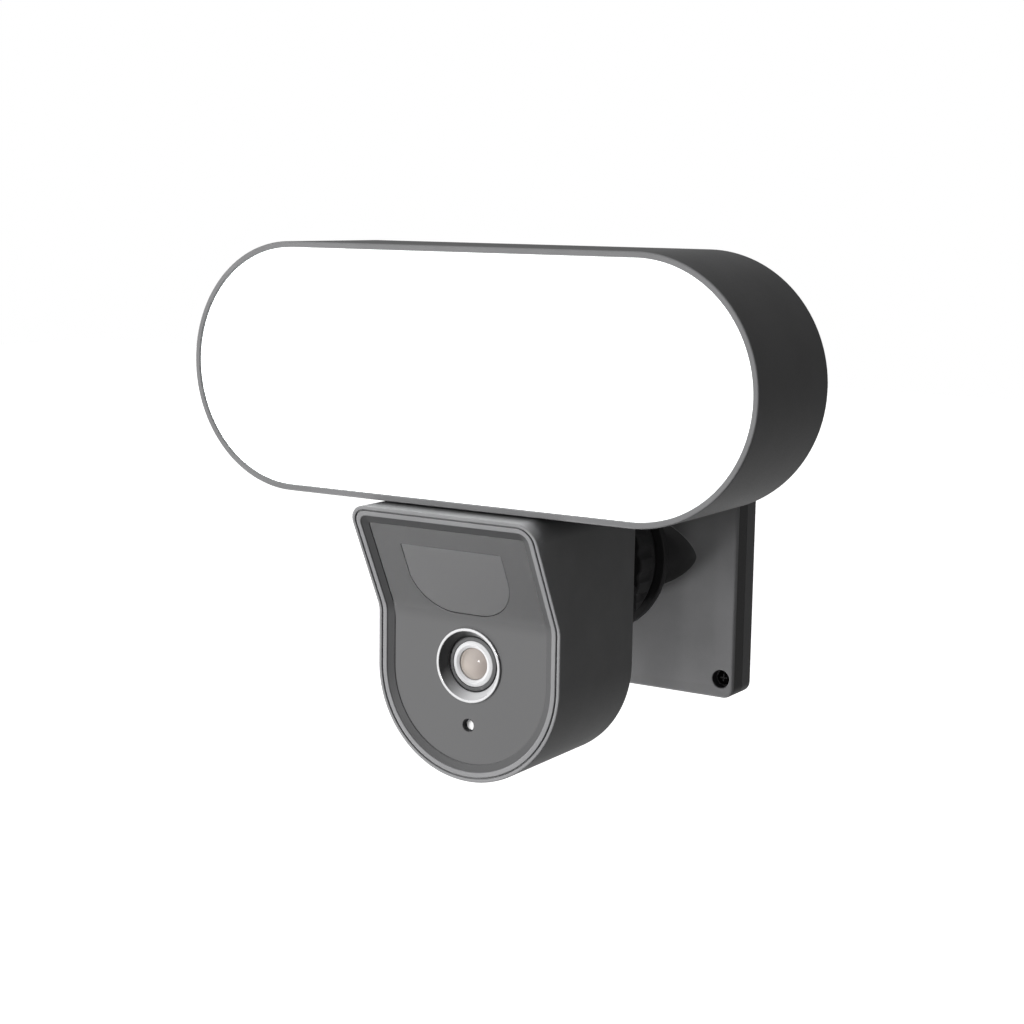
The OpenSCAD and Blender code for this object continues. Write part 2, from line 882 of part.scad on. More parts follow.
module mic_boot() {
    color("black")
        translate([0, 0, mic_z])
            difference() {
                bar_y(mic_hole_d / 2 + 1.6, panel_y + panel_t + fit_gap, panel_y + panel_t + 6);
                bar_y(mic_hole_d / 2, panel_y, panel_y + panel_t + mic_ledge);
                bar_y(1, panel_y, panel_y + 20);
                bar_y(2, panel_y + panel_t + 2.4, panel_y + 20);
            }
}

module microphone() {
    color("silver")
        translate([0, 0, mic_z])
            bar_y(2 - run_gap, panel_y + panel_t + 2.5, panel_y + panel_t + 5.2);
}

module main_board() {
    color("green")
        difference() {
            translate([0, 0, main_board_z])
                along_y(main_board_y + fit_gap, main_board_y + fit_gap + board_t)
                    round_rect(main_board_w, main_board_h, 2);
            four_corners_at(main_board_z, main_board_w - 8, main_board_h - 8)
                bar_y(1.2, main_board_y - 1, main_board_y + board_t + 1);
        }
}

module board_chips() {
    face = main_board_y + fit_gap + board_t;
    color("black") {
        translate([-7, 0, main_board_z + 8]) along_y(face, face + 1.2) round_rect(14, 14, 0.5);
        translate([10, 0, main_board_z + 9]) along_y(face, face + 1) round_rect(9, 12, 0.5);
        translate([8, 0, main_board_z - 10]) along_y(face, face + 2.5) round_rect(8, 8, 1);
        translate([-8, 0, main_board_z - 12]) along_y(face, face + 4) round_rect(12, 6, 0.5);
    }
}

module board_screws() {
    color("silver")
        four_corners_at(main_board_z, main_board_w - 8, main_board_h - 8)
            screw_y(main_board_y + fit_gap + board_t, board_t + fit_gap + 5, 2, 3.8, 1.4);
}

module wifi_antenna() {
    color("gold")
        translate([-shell_in_r + 0.4, head_back_y - 36, arc_z + 8])
            cube([0.5, 26, 12]);
}

module speaker() {
    y1 = inner_back_y - fit_gap - speaker_gasket_t;
    color("black")
        translate([0, 0, speaker_z])
            union() {
                bar_y(speaker_d / 2, y1 - 2, y1);
                bar_y(speaker_d / 2 - 4, y1 - speaker_t, y1 - 2 + eps);
            }
}

module speaker_gasket() {
    y1 = inner_back_y - fit_gap / 2;
    color("gray")
        translate([0, 0, speaker_z])
            difference() {
                bar_y(speaker_d / 2, y1 - speaker_gasket_t, y1);
                bar_y(speaker_d / 2 - 2.5, y1 - speaker_gasket_t - eps, y1 + eps);
            }
}

// ---- Back port ----

module port_frame() {
    color("black")
        difference() {
            along_y(inner_back_y - 2.5, head_back_y) port_recess(1 - fit_gap);
            along_y(port_floor_y, head_back_y + eps) port_recess();
            translate([port_x, 0, socket_z])
                along_y(inner_back_y - 5, head_back_y) stadium(9 + 2 * fit_gap, 3.2 + 2 * fit_gap);
            translate([port_x, 0, button_z])
                bar_y(button_d / 2 + run_gap, inner_back_y - 5, head_back_y);
        }
}

module port_cover() {
    y0 = head_back_y + fit_gap;
    color([0.05, 0.05, 0.05])
        union() {
            along_y(y0, y0 + port_out - 2)
                translate([port_x, port_z]) round_rect(port_w, port_h, 2);
            along_y(y0 + port_out - 2 - eps, y0 + port_out)
                translate([port_x, port_z]) round_rect(port_w - 1.6, port_h - 1.6, 1.4);
            along_y(y0 - plug_depth, y0 + eps)
                translate([port_x, port_z]) round_rect(recess_w - 2 * free_gap - 0.6, recess_h - 2 * free_gap - 0.6, 1);
        }
}

module power_socket() {
    color("silver")
        translate([port_x, 0, socket_z])
            difference() {
                along_y(inner_back_y - 7, port_floor_y + 0.5) stadium(9, 3.2);
                difference() {
                    along_y(inner_back_y - 5.5, port_floor_y + 1) stadium(8.3, 2.5);
                    along_y(inner_back_y - 5.6, port_floor_y - 0.2) square([6.6, 0.7], center = true);
                }
            }
}

module reset_button() {
    color("dimgray")
        translate([port_x, 0, button_z]) {
            bar_y(button_d / 2, button_flange_y + button_flange_t - eps, port_floor_y + 0.9);
            bar_y(button_d / 2 + 0.8, button_flange_y, button_flange_y + button_flange_t);
        }
}

module button_spring() {
    first_y = switch_y + 0.1 + spring_wire_d / 2;
    pitch = (button_flange_y - switch_y - 0.2 - spring_wire_d) / (spring_turns - 1);
    color("silver")
        translate([port_x, 0, button_z])
            for (i = [0 : spring_turns - 1])
                translate([0, first_y + i * pitch, 0])
                    turned_y()
                        translate([1.3, 0]) circle(spring_wire_d / 2, $fn = 16);
}

module reset_switch() {
    case_t = 1.5;
    color("black")
        translate([port_x, 0, button_z]) {
            along_y(switch_y - case_t, switch_y) round_rect(5, 4, 0.4);
            bar_y(0.7, switch_y - eps, button_flange_y - button_travel - fit_gap);
        }
    color("green")
        translate([port_x - 1, 0, port_z])
            along_y(switch_y - case_t - board_t, switch_y - case_t + eps) round_rect(11, 12, 1);
}

// ---- Lamp ----

module joint_seal() {
    color("black")
        difference() {
            translate([0, joint_y, head_top])
                linear_extrude(seal_t)
                    round_rect(head_w - 2 * shell_corner - 4, joint_screw_dy + 12, 4);
            top_openings(head_top - 1, head_top + seal_t + 1);
        }
}

module joint_screws() {
    z0 = head_top - shell_wall;
    color("silver")
        translate([0, joint_y, 0])
            for (sx = [-1, 1], sy = [-1, 1])
                translate([sx * joint_screw_dx / 2, sy * joint_screw_dy / 2, 0]) {
                    translate([0, 0, z0 - small_head_t])
                        cylinder(r = small_head_d / 2, h = small_head_t);
                    translate([0, 0, z0 - eps])
                        cylinder(r = small_screw_d / 2, h = shell_wall + seal_t + 8);
                }
}

module lamp_wires() {
    color("firebrick")
        for (s = [-1, 1])
            translate([s * 1.6, joint_y, head_top - 12])
                cylinder(r = 1.2, h = 30, $fn = 24);
}

module lamp_outline(inset = 0) {
    translate([0, lamp_z]) stadium(lamp_w - 2 * inset, lamp_h - 2 * inset);
}

module lamp_housing() {
    boss_z = head_top + seal_t;
    color("dimgray")
        difference() {
            union() {
                difference() {
                    along_y(lamp_front_y, lamp_back_y) lamp_outline();
                    along_y(lamp_front_y - eps, lamp_back_y + eps) lamp_outline(lamp_wall);
                }
                along_y(shelf_y, shelf_y + shelf_t)
                    difference() {
                        lamp_outline(lamp_wall - eps);
                        lamp_outline(lamp_wall + shelf_w);
                    }
                for (p = back_screw_spots())
                    translate([p[0], 0, lamp_z + p[1]])
                        bar_y(back_boss_d / 2, spreader_y + spreader_t + 2, back_front_y - seal_t);
                for (sx = [-1, 1], sy = [-1, 1])
                    translate([sx * joint_screw_dx / 2, joint_y + sy * joint_screw_dy / 2, boss_z + eps])
                        cylinder(r = 4, h = 10);
            }
            for (p = back_screw_spots())
                translate([p[0], 0, lamp_z + p[1]])
                    bar_y(small_screw_d / 2, back_front_y - 12, back_front_y);
            top_openings(boss_z - 1, boss_z + lamp_wall + 1);
            for (sx = [-1, 1], sy = [-1, 1])
                translate([sx * joint_screw_dx / 2, joint_y + sy * joint_screw_dy / 2, boss_z - 1])
                    cylinder(r = small_screw_d / 2, h = 10);
        }
}

// Eight back screws, as [x, z] about the lamp's centre.
function back_screw_spots() = [
    for (sx = [-1, -0.45, 0.45, 1], sz = [-1, 1]) [sx * back_screw_x, sz * back_screw_z]
];

module lamp_back() {
    color("dimgray")
        difference() {
            union() {
                along_y(back_front_y, lamp_back_y) lamp_outline(lamp_wall + fit_gap);
                for (i = [-6 : 6])
                    translate([i * 9, 0, lamp_z])
                        along_y(back_front_y - 5, back_front_y + eps) square([1.6, 50], center = true);
            }
            for (p = back_screw_spots())
                translate([p[0], 0, lamp_z + p[1]]) {
                    bar_y(small_screw_d / 2 + fit_gap, back_front_y - eps, lamp_back_y + eps);
                    bar_y(small_head_d / 2 + fit_gap, lamp_back_y - small_head_t, lamp_back_y + eps);
                }
        }
}

module back_seal() {
    color("black")
        difference() {
            along_y(back_front_y - seal_t + fit_gap, back_front_y)
                difference() {
                    lamp_outline(lamp_wall + fit_gap);
                    lamp_outline(lamp_wall + 9);
                }
            for (p = back_screw_spots())
                translate([p[0], 0, lamp_z + p[1]])
                    bar_y(small_screw_d / 2 + fit_gap, back_front_y - seal_t - 1, back_front_y + 1);
        }
}

module back_screws() {
    color("silver")
        for (p = back_screw_spots())
            translate([p[0], 0, lamp_z + p[1]])
                screw_y(lamp_back_y - small_head_t, lamp_back_t - small_head_t + 9,
                    small_screw_d, small_head_d, small_head_t);
}

module lamp_diffuser() {
    color("white")
        difference() {
            along_y(diffuser_front_y, diffuser_back_y) lamp_outline(lamp_wall + fit_gap);
            along_y(diffuser_front_y + diffuser_t, diffuser_back_y + eps)
                lamp_outline(lamp_wall + fit_gap + diffuser_t);
        }
}

module diffuser_seal() {
    color("black")
        along_y(diffuser_back_y, shelf_y)
            difference() {
                lamp_outline(lamp_wall + fit_gap);
                lamp_outline(lamp_wall + shelf_w - 2);
            }
}

// Copies its child at each light-emitting diode.
module led_spots() {
    for (c = [0 : led_columns - 1], r = [0 : led_rows - 1])
        translate([
            (c - (led_columns - 1) / 2) * led_pitch, 0,
            lamp_z + (r - (led_rows - 1) / 2) * led_row_pitch
        ])
            children();
}

module reflector() {
    y1 = spreader_y - board_t - led_t;
    color("white")
        difference() {
            along_y(y1 - reflector_t, y1) lamp_outline(lamp_wall + shelf_w + 1);
            led_spots() bar_y(2.6, y1 - 1, y1 + 1);
        }
}

module led_board() {
    color("white")
        along_y(spreader_y - board_t, spreader_y)
            translate([0, lamp_z]) round_rect(led_board_w, led_board_h, 3);
}

module leds() {
    y1 = spreader_y - board_t;
    color("gold")
        led_spots() along_y(y1 - led_t, y1) square(led_size, center = true);
}

module heat_spreader() {
    color("silver")
        along_y(spreader_y, spreader_y + spreader_t) lamp_outline(lamp_wall + 0.5);
}

module driver_board() {
    color("green")
        difference() {
            along_y(driver_y, driver_y + board_t)
                translate([0, lamp_z]) round_rect(driver_w, driver_h, 3);
            four_corners_at(lamp_z, driver_w - 10, driver_h - 10)
                bar_y(small_screw_d / 2 + fit_gap, driver_y - 1, driver_y + board_t + 1);
        }
}

module driver_parts() {
    face = driver_y + board_t;
    color("black")
        translate([-20, 0, lamp_z]) along_y(face, face + 16) round_rect(24, 20, 1);
    color("navy")
        for (x = [12, 26, 40])
            translate([x, 0, lamp_z + 8]) bar_y(5, face, face + 15);
    color("gold")
        translate([28, 0, lamp_z - 14]) along_y(face, face + 9) round_rect(18, 8, 1);
}

module driver_screws() {
    color("silver")
        four_corners_at(lamp_z, driver_w - 10, driver_h - 10) {
            screw_y(driver_y + board_t, board_t + 5, small_screw_d, small_head_d, small_head_t);
            difference() {
                bar_y(3, spreader_y + spreader_t, driver_y);
                bar_y(small_screw_d / 2, driver_y - 6, driver_y + 1);
            }
        }
}

wall_base();
wall_gasket();
wall_plate();
plate_screws();
clamp_ring();
ring_nut();
seat_liner();
ball_stud();
stud_washer();
stud_nut();
mount_foot();
foot_seal();
foot_screws();
backing_plate();
camera_shell();
shell_screws();
face_bezel();
bezel_seal();
face_panel();
inner_frame();
pir_window();
pir_sensor();
pir_board();
lens_ring();
lens_recess();
lens_tube();
lens_glass();
sensor_board();
mic_boot();
microphone();
main_board();
board_chips();
board_screws();
wifi_antenna();
speaker();
speaker_gasket();
port_frame();
port_cover();
power_socket();
reset_button();
button_spring();
reset_switch();
joint_seal();
joint_screws();
lamp_wires();
lamp_housing();
lamp_back();
back_seal();
back_screws();
lamp_diffuser();
diffuser_seal();
reflector();
led_board();
leds();
heat_spreader();
driver_board();
driver_parts();
driver_screws();
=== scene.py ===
import json
import math

import bmesh
import bpy
from mathutils import Matrix, Vector


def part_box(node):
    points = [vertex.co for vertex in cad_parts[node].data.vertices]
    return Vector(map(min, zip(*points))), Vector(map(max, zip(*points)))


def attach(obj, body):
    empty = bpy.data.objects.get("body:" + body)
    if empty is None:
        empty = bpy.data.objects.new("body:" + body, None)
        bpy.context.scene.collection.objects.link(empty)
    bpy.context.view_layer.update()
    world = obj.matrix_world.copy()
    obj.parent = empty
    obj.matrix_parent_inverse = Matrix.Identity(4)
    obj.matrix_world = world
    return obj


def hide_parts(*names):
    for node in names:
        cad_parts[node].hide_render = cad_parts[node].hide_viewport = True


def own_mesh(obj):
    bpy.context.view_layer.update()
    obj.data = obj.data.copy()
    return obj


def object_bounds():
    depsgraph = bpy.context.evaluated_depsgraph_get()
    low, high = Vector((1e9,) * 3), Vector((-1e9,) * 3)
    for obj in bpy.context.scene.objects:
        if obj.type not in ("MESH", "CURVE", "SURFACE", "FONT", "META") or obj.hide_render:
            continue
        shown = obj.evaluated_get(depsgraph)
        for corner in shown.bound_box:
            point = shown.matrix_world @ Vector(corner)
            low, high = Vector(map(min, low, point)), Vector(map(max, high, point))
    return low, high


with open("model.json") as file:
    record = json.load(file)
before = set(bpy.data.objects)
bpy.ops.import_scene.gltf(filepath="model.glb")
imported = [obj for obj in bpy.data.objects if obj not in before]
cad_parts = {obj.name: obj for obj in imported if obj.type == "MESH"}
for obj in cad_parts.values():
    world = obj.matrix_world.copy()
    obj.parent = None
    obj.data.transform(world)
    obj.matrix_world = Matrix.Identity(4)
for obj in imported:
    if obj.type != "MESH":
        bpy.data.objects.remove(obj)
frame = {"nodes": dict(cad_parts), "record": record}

cad_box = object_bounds()

# ---------------------------------------------------------------- places, all in metres

shell_low, shell_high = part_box("camera_shell")
lamp_low, lamp_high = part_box("lamp_housing")
diffuser_low, diffuser_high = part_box("lamp_diffuser")
cover_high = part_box("lamp_back")[1]
base_low, base_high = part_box("wall_base")
plate_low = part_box("wall_plate")[0]
nut_low, nut_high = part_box("ring_nut")
foot_low, foot_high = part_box("mount_foot")
ring_low, ring_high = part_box("lens_ring")
tube_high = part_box("lens_tube")[1]
glass_low, glass_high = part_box("lens_glass")
boot_low, boot_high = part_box("mic_boot")
port_low, port_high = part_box("port_cover")

HEAD_R = shell_high.x
HEAD_TOP = shell_high.z
ARC_Z = shell_low.z + HEAD_R
HEAD_BACK = shell_high.y
VISOR_REACH = 0.0219
VISOR_H = 0.0448
VISOR_SLOPE = VISOR_REACH / VISOR_H
BEND_Z = HEAD_TOP - VISOR_H
FACE_Y = shell_low.y + VISOR_REACH
SHELL_CORNER = 0.008
SHELL_WALL = 0.0022
BACK_WALL = 0.003
LIP = 0.0015
GROOVE = 0.0006
GROOVE_DEPTH = 0.0011
BEZEL_LIP = 0.0019
BEVEL_W = 0.0031
PANEL_DEPTH = 0.0016
PANEL_T = 0.002
LIP_BEND = 0.0022
PANEL_BEND = 0.0045

LAMP_RIM = 0.00235
LAMP_Z = (lamp_low.z + lamp_high.z) / 2
LAMP_R = (lamp_high.z - lamp_low.z) / 2
LAMP_HALF = lamp_high.x - LAMP_R

PLATE_HALF = base_high.x
PLATE_CORNER = 0.005
BASE_FRONT = base_low.y
PLATE_T = 0.009
PLATE_FRONT = BASE_FRONT - PLATE_T
HOLE_X = 0.055
HOLE_Z = 0.0525

# ---------------------------------------------------------------- shapes


def rounded(points, closed=False, steps=5):
    """A polyline of (a, b, radius) with each corner rounded to its radius, as a list of (a, b)."""
    made = []
    count = len(points)
    for i, (a, b, radius) in enumerate(points):
        here = Vector((a, b))
        if radius == 0 or (not closed and i in (0, count - 1)):
            made.append((a, b))
            continue
        before = Vector(points[i - 1][:2]) - here
        after = Vector(points[(i + 1) % count][:2]) - here
        angle = before.angle(after)
        reach = min(radius / math.tan(angle / 2), before.length * 0.49, after.length * 0.49)
        p0 = here + before.normalized() * reach
        p2 = here + after.normalized() * reach
        real = reach * math.tan(angle / 2)
        middle = here + (before.normalized() + after.normalized()).normalized() * math.hypot(real, reach)
        turn = math.pi - angle
        spoke = p0 - middle
        side = 1 if (p2 - middle).dot(Vector((-spoke.y, spoke.x))) > 0 else -1
        for k in range(steps + 1):
            t = side * turn * k / steps
            made.append((
                middle.x + spoke.x * math.cos(t) - spoke.y * math.sin(t),
                middle.y + spoke.x * math.sin(t) + spoke.y * math.cos(t),
            ))
    return made


def make(name, verts, faces):
    """A new object from points and faces, with doubled points merged and its faces turned outwards."""
    mesh = bpy.data.meshes.new(name)
    mesh.from_pydata([tuple(v) for v in verts], [], faces)
    bm = bmesh.new()
    bm.from_mesh(mesh)
    bmesh.ops.remove_doubles(bm, verts=bm.verts, dist=1e-7)
    bmesh.ops.recalc_face_normals(bm, faces=bm.faces)
    bm.to_mesh(mesh)
    bm.free()
    obj = bpy.data.objects.new(name, mesh)
    bpy.context.scene.collection.objects.link(obj)
    return obj


def loft(name, rings, closed=False):
    """A solid through rings of points. It is closed on itself, or has a flat face at each end."""
    size = len(rings[0])
    verts = [p for ring in rings for p in ring]
    faces = []
    last = len(rings) if closed else len(rings) - 1
    for i in range(last):
        low = i * size
        high = (i + 1) % len(rings) * size
        for k in range(size):
            n = (k + 1) % size
            faces.append((low + k, low + n, high + n, high + k))
    if not closed:
        faces.append(tuple(range(size)))
        faces.append(tuple(range(len(verts) - size, len(verts))))
    return make(name, verts, faces)


def turned(name, profile, centre=(0, 0), steps=128, closed=True, radius=None):
    """A piece turned about a line along y through centre (x, z). The profile is (radius, y)."""
    rings = []
    for r, y in profile:
        ring = []
        for k in range(steps):
            a = 2 * math.pi * k / steps
            here = radius(r, y, a) if radius else r
            ring.append((centre[0] + here * math.cos(a), y, centre[1] + here * math.sin(a)))
        rings.append(ring)
    return loft(name, rings, closed)


def stadium(inset, steps=64):
    """The lamp's outline as (x, z) points, set in by inset."""
    points = []
    for side in (1, -1):
        for k in range(steps + 1):
            a = math.pi * (k / steps - 0.5)
            points.append((
                side * (LAMP_HALF + (LAMP_R - inset) * math.cos(a)),
                LAMP_Z + side * (LAMP_R - inset) * math.sin(a),
            ))
    return points


def round_rect(half_x, half_z, corner, centre=(0, 0), steps=10):
    """A rectangle's outline with round corners, as (x, z) points."""
    points = []
    for q, (sx, sz) in enumerate(((1, 1), (-1, 1), (-1, -1), (1, -1))):
        for k in range(steps + 1):
            a = math.pi / 2 * (q + k / steps)
            points.append((
                centre[0] + sx * (half_x - corner) + corner * math.cos(a),
                centre[1] + sz * (half_z - corner) + corner * math.sin(a),
            ))
    return points


def side_stations(low, high):
    """Heights along the straight side of the head, closer together round the bend."""
    spread = 0.008
    near = [BEND_Z + spread * k / 12 for k in range(-12, 13)]
    far = [low, low + (near[0] - low) / 2, near[-1] + (high - near[-1]) / 2, high]
    return sorted(far + near)


def head_outline(inset):
    """The head's outline as (x, z) points, set in by inset: round bottom, flat top, round top corners."""
    r = HEAD_R - inset
    corner = max(SHELL_CORNER - inset, 0.0006)
    top = HEAD_TOP - inset
    side = side_stations(ARC_Z, HEAD_TOP - SHELL_CORNER)
    points = [(r * math.cos(math.pi * (1 + k / 72)), ARC_Z + r * math.sin(math.pi * (1 + k / 72))) for k in range(73)]
    points += [(r, z) for z in side[1:-1]]
    arc = [math.pi / 2 * k / 10 for k in range(11)]
    points += [(r - corner + corner * math.cos(a), top - corner + corner * math.sin(a)) for a in arc]
    points += [(-p[0], p[1]) for p in reversed(points[-11:])]
    points += [(-r, z) for z in reversed(side[1:-1])]
    return points


def bent(z, depth, bend):
    """The y of the bent face at height z, at a depth behind the front lip."""
    t = z - BEND_Z
    if t <= -bend:
        lean = 0.0
    elif t >= bend:
        lean = t
    else:
        lean = (t + bend) ** 2 / (4 * bend)
    return FACE_Y + depth - VISOR_SLOPE * lean


def head_rings(profile, bend=LIP_BEND):
    """Rings for loft() from (inset, value, place): value is a depth behind the bent face, or a y on a flat plane."""
    rings = []
    for inset, value, place in profile:
        outline = head_outline(inset)
        if place == "face":
            rings.append([(x, bent(z, value, bend), z) for x, z in outline])
        else:
            rings.append([(x, value, z) for x, z in outline])
    return rings


def on_face(points):
    return [(a, b, "face") for a, b in points]


def on_plane(points):
    return [(a, b, "plane") for a, b in points]


def baked(obj):
    """Turns the object's modifiers into its mesh."""
    bpy.context.view_layer.update()
    graph = bpy.context.evaluated_depsgraph_get()
    mesh = bpy.data.meshes.new_from_object(obj.evaluated_get(graph))
    obj.modifiers.clear()
    obj.data = mesh
    return obj


def joined(name, objs):
    """One object from several, whose solids stay separate."""
    bm = bmesh.new()
    for o in objs:
        bm.from_mesh(o.data)
        bpy.data.objects.remove(o)
    mesh = bpy.data.meshes.new(name)
    bm.to_mesh(mesh)
    bm.free()
    obj = bpy.data.objects.new(name, mesh)
    bpy.context.scene.collection.objects.link(obj)
    return obj


def combine(obj, tools, operation):
    """Cuts the tools out of obj, or adds them to it."""
    tool = joined(obj.name + "_tool", tools)
    modifier = obj.modifiers.new("combine", "BOOLEAN")
    modifier.operation = operation
    modifier.solver = "EXACT"
    modifier.object = tool
    baked(obj)
    bpy.data.objects.remove(tool)
    return obj


def cut(obj, *tools):
    return combine(obj, tools, "DIFFERENCE")


def finished(obj, material, slot, body, *nodes, sharp=32, second=None, where=None):
    """Smooth faces with crisp edges, a material (and a second one on chosen faces), and a place in the frame."""
    bm = bmesh.new()
    bm.from_mesh(obj.data)
    bmesh.ops.remove_doubles(bm, verts=bm.verts, dist=1e-7)
    bmesh.ops.dissolve_degenerate(bm, edges=bm.edges, dist=1e-7)
    for f in bm.faces:
        f.smooth = True
    for e in bm.edges:
        e.smooth = len(e.link_faces) == 2 and e.calc_face_angle() < math.radians(sharp)
    bm.to_mesh(obj.data)
    bm.free()
    weighted = obj.modifiers.new("weighted", "WEIGHTED_NORMAL")
    weighted.weight = 100
    weighted.keep_sharp = True
    baked(obj)
    obj.data.materials.clear()
    obj.data.materials.append(material)
    if second:
        obj.data.materials.append(second)
        for face in obj.data.polygons:
            face.material_index = 1 if where(face.center, face.normal) else 0
    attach(obj, body)
    if nodes:
        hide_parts(*nodes)
    return obj


def bore(x, z, radius, y0, y1, chamfer=0.0, steps=48):
    """A cutter for a round hole along y, with a chamfer at the end y0."""
    profile = [(0, y0 - 0.001), (radius + chamfer, y0 - 0.001), (radius + chamfer, y0)]
    profile += [(radius, y0 + chamfer if y1 > y0 else y0 - chamfer), (radius, y1), (0, y1)]
    if y1 < y0:
        profile[0] = (0, y0 + 0.001)
        profile[1] = (radius + chamfer, y0 + 0.001)
    return turned("bore", profile, (x, z), steps)


# ---------------------------------------------------------------- materials


def shader(name):
    material = bpy.data.materials.new(name)
    material.use_nodes = True
    tree = material.node_tree
    return material, tree, tree.nodes["Principled BSDF"]


def noise(tree, scale, detail=2.0, roughness=0.5):
    """Noise in the object's own space, at a scale in metres."""
    place = tree.nodes.new("ShaderNodeTexCoord")
    texture = tree.nodes.new("ShaderNodeTexNoise")
    texture.inputs["Scale"].default_value = scale
    texture.inputs["Detail"].default_value = detail
    texture.inputs["Roughness"].default_value = roughness
    tree.links.new(place.outputs["Object"], texture.inputs["Vector"])
    return texture.outputs["Fac"]


def ranged(tree, value, low, high, start=0.3, end=0.7):
    """Maps start..end of a value to low..high."""
    node = tree.nodes.new("ShaderNodeMapRange")
    node.inputs["From Min"].default_value = start
    node.inputs["From Max"].default_value = end
    node.inputs["To Min"].default_value = low
    node.inputs["To Max"].default_value = high
    tree.links.new(value, node.inputs["Value"])
    return node.outputs["Result"]


def mixed(tree, factor, first, second):
    """A colour between two, by a factor."""
    node = tree.nodes.new("ShaderNodeMix")
    node.data_type = "RGBA"
    tree.links.new(factor, node.inputs["Factor"])
    for socket, value in ((node.inputs["A"], first), (node.inputs["B"], second)):
        if isinstance(value, tuple):
            socket.default_value = (*value, 1.0)
        else:
            tree.links.new(value, socket)
    return node.outputs["Result"]


def bumped(tree, bsdf, height, strength, distance):
    node = tree.nodes.new("ShaderNodeBump")
    node.inputs["Strength"].default_value = strength
    node.inputs["Distance"].default_value = distance
    tree.links.new(height, node.inputs["Height"])
    tree.links.new(node.outputs["Normal"], bsdf.inputs["Normal"])


def moulded(name, colour, roughness, grain=0.25, grain_scale=2600.0, vary=0.08, edge_highlight=0.35):
    """Moulded plastic: fine grain, faint random changes of tone, and a painted highlight that makes edges a little
    paler.
    """
    material, tree, bsdf = shader(name)
    shade = noise(tree, 38.0, 4.0, 0.6)
    dark = tuple(c * (1 - vary) for c in colour)
    light = tuple(c * (1 + vary) for c in colour)
    flat = mixed(tree, ranged(tree, shade, 0.0, 1.0), dark, light)
    geometry = tree.nodes.new("ShaderNodeNewGeometry")
    # Painted highlight: pointy edges are mixed towards a paler copy of the colour.
    edge = ranged(tree, geometry.outputs["Pointiness"], 0.0, edge_highlight, 0.52, 0.6)
    highlight_colour = tuple(min(1.0, c * 1.8 + 0.02) for c in colour)
    tree.links.new(mixed(tree, edge, flat, highlight_colour), bsdf.inputs["Base Color"])
    fine = noise(tree, grain_scale, 2.0, 0.6)
    tree.links.new(ranged(tree, fine, roughness - 0.06, roughness + 0.06), bsdf.inputs["Roughness"])
    bumped(tree, bsdf, fine, grain, 0.00006)
    bsdf.inputs["Specular IOR Level"].default_value = 0.42
    return material


def glossy(name, colour, roughness, vary=0.03, ior=1.5):
    """Polished plastic with faint haze and a slow change of shade."""
    material, tree, bsdf = shader(name)
    shade = noise(tree, 22.0, 3.0)
    dark = tuple(c * (1 - vary) for c in colour)
    light = tuple(c * (1 + vary) for c in colour)
    tree.links.new(mixed(tree, ranged(tree, shade, 0.0, 1.0, 0.1, 0.9), dark, light), bsdf.inputs["Base Color"])
    bsdf.inputs["IOR"].default_value = ior
    haze = noise(tree, 60.0, 2.0)
    tree.links.new(ranged(tree, haze, roughness - 0.02, roughness + 0.02, 0.1, 0.9), bsdf.inputs["Roughness"])
    return material


def metal(name, colour, roughness, brushed=(300.0, 300.0, 300.0), grain=0.08):
    """Metal with fine marks, which run along the axis whose scale is small."""
    material, tree, bsdf = shader(name)
    bsdf.inputs["Metallic"].default_value = 1.0
    place = tree.nodes.new("ShaderNodeTexCoord")
    mapping = tree.nodes.new("ShaderNodeMapping")
    mapping.inputs["Scale"].default_value = brushed
    texture = tree.nodes.new("ShaderNodeTexNoise")
    texture.inputs["Scale"].default_value = 4.0
    texture.inputs["Detail"].default_value = 4.0
    tree.links.new(place.outputs["Object"], mapping.inputs["Vector"])
    tree.links.new(mapping.outputs["Vector"], texture.inputs["Vector"])
    marks = texture.outputs["Fac"]
    dark = tuple(c * 0.88 for c in colour)
    tree.links.new(mixed(tree, ranged(tree, marks, 0.0, 1.0), dark, colour), bsdf.inputs["Base Color"])
    tree.links.new(ranged(tree, marks, roughness - 0.05, roughness + 0.07), bsdf.inputs["Roughness"])
    bumped(tree, bsdf, marks, grain, 0.00003)
    return material


def circuit_board(name):
    """Green solder mask with faint copper tracks under it and tinned pads."""
    material, tree, bsdf = shader(name)
    place = tree.nodes.new("ShaderNodeTexCoord")
    cells = tree.nodes.new("ShaderNodeTexVoronoi")
    cells.inputs["Scale"].default_value = 420.0
    cells.distance = "CHEBYCHEV"
    tree.links.new(place.outputs["Object"], cells.inputs["Vector"])
    tracks = tree.nodes.new("ShaderNodeTexBrick")
    tracks.inputs["Scale"].default_value = 260.0
    tracks.inputs["Mortar Size"].default_value = 0.035
    turn = tree.nodes.new("ShaderNodeMapping")
    turn.inputs["Rotation"].default_value = (math.pi / 2, 0, 0)
    tree.links.new(place.outputs["Object"], turn.inputs["Vector"])
    tree.links.new(turn.outputs["Vector"], tracks.inputs["Vector"])
    mask = mixed(tree, tracks.outputs["Fac"], (0.012, 0.12, 0.045), (0.03, 0.22, 0.09))
    pads = ranged(tree, cells.outputs["Distance"], 1.0, 0.0, 0.12, 0.16)
    tree.links.new(mixed(tree, pads, mask, (0.7, 0.7, 0.66)), bsdf.inputs["Base Color"])
    bsdf.inputs["Roughness"].default_value = 0.32
    bumped(tree, bsdf, tracks.outputs["Fac"], 0.2, 0.00005)
    return material


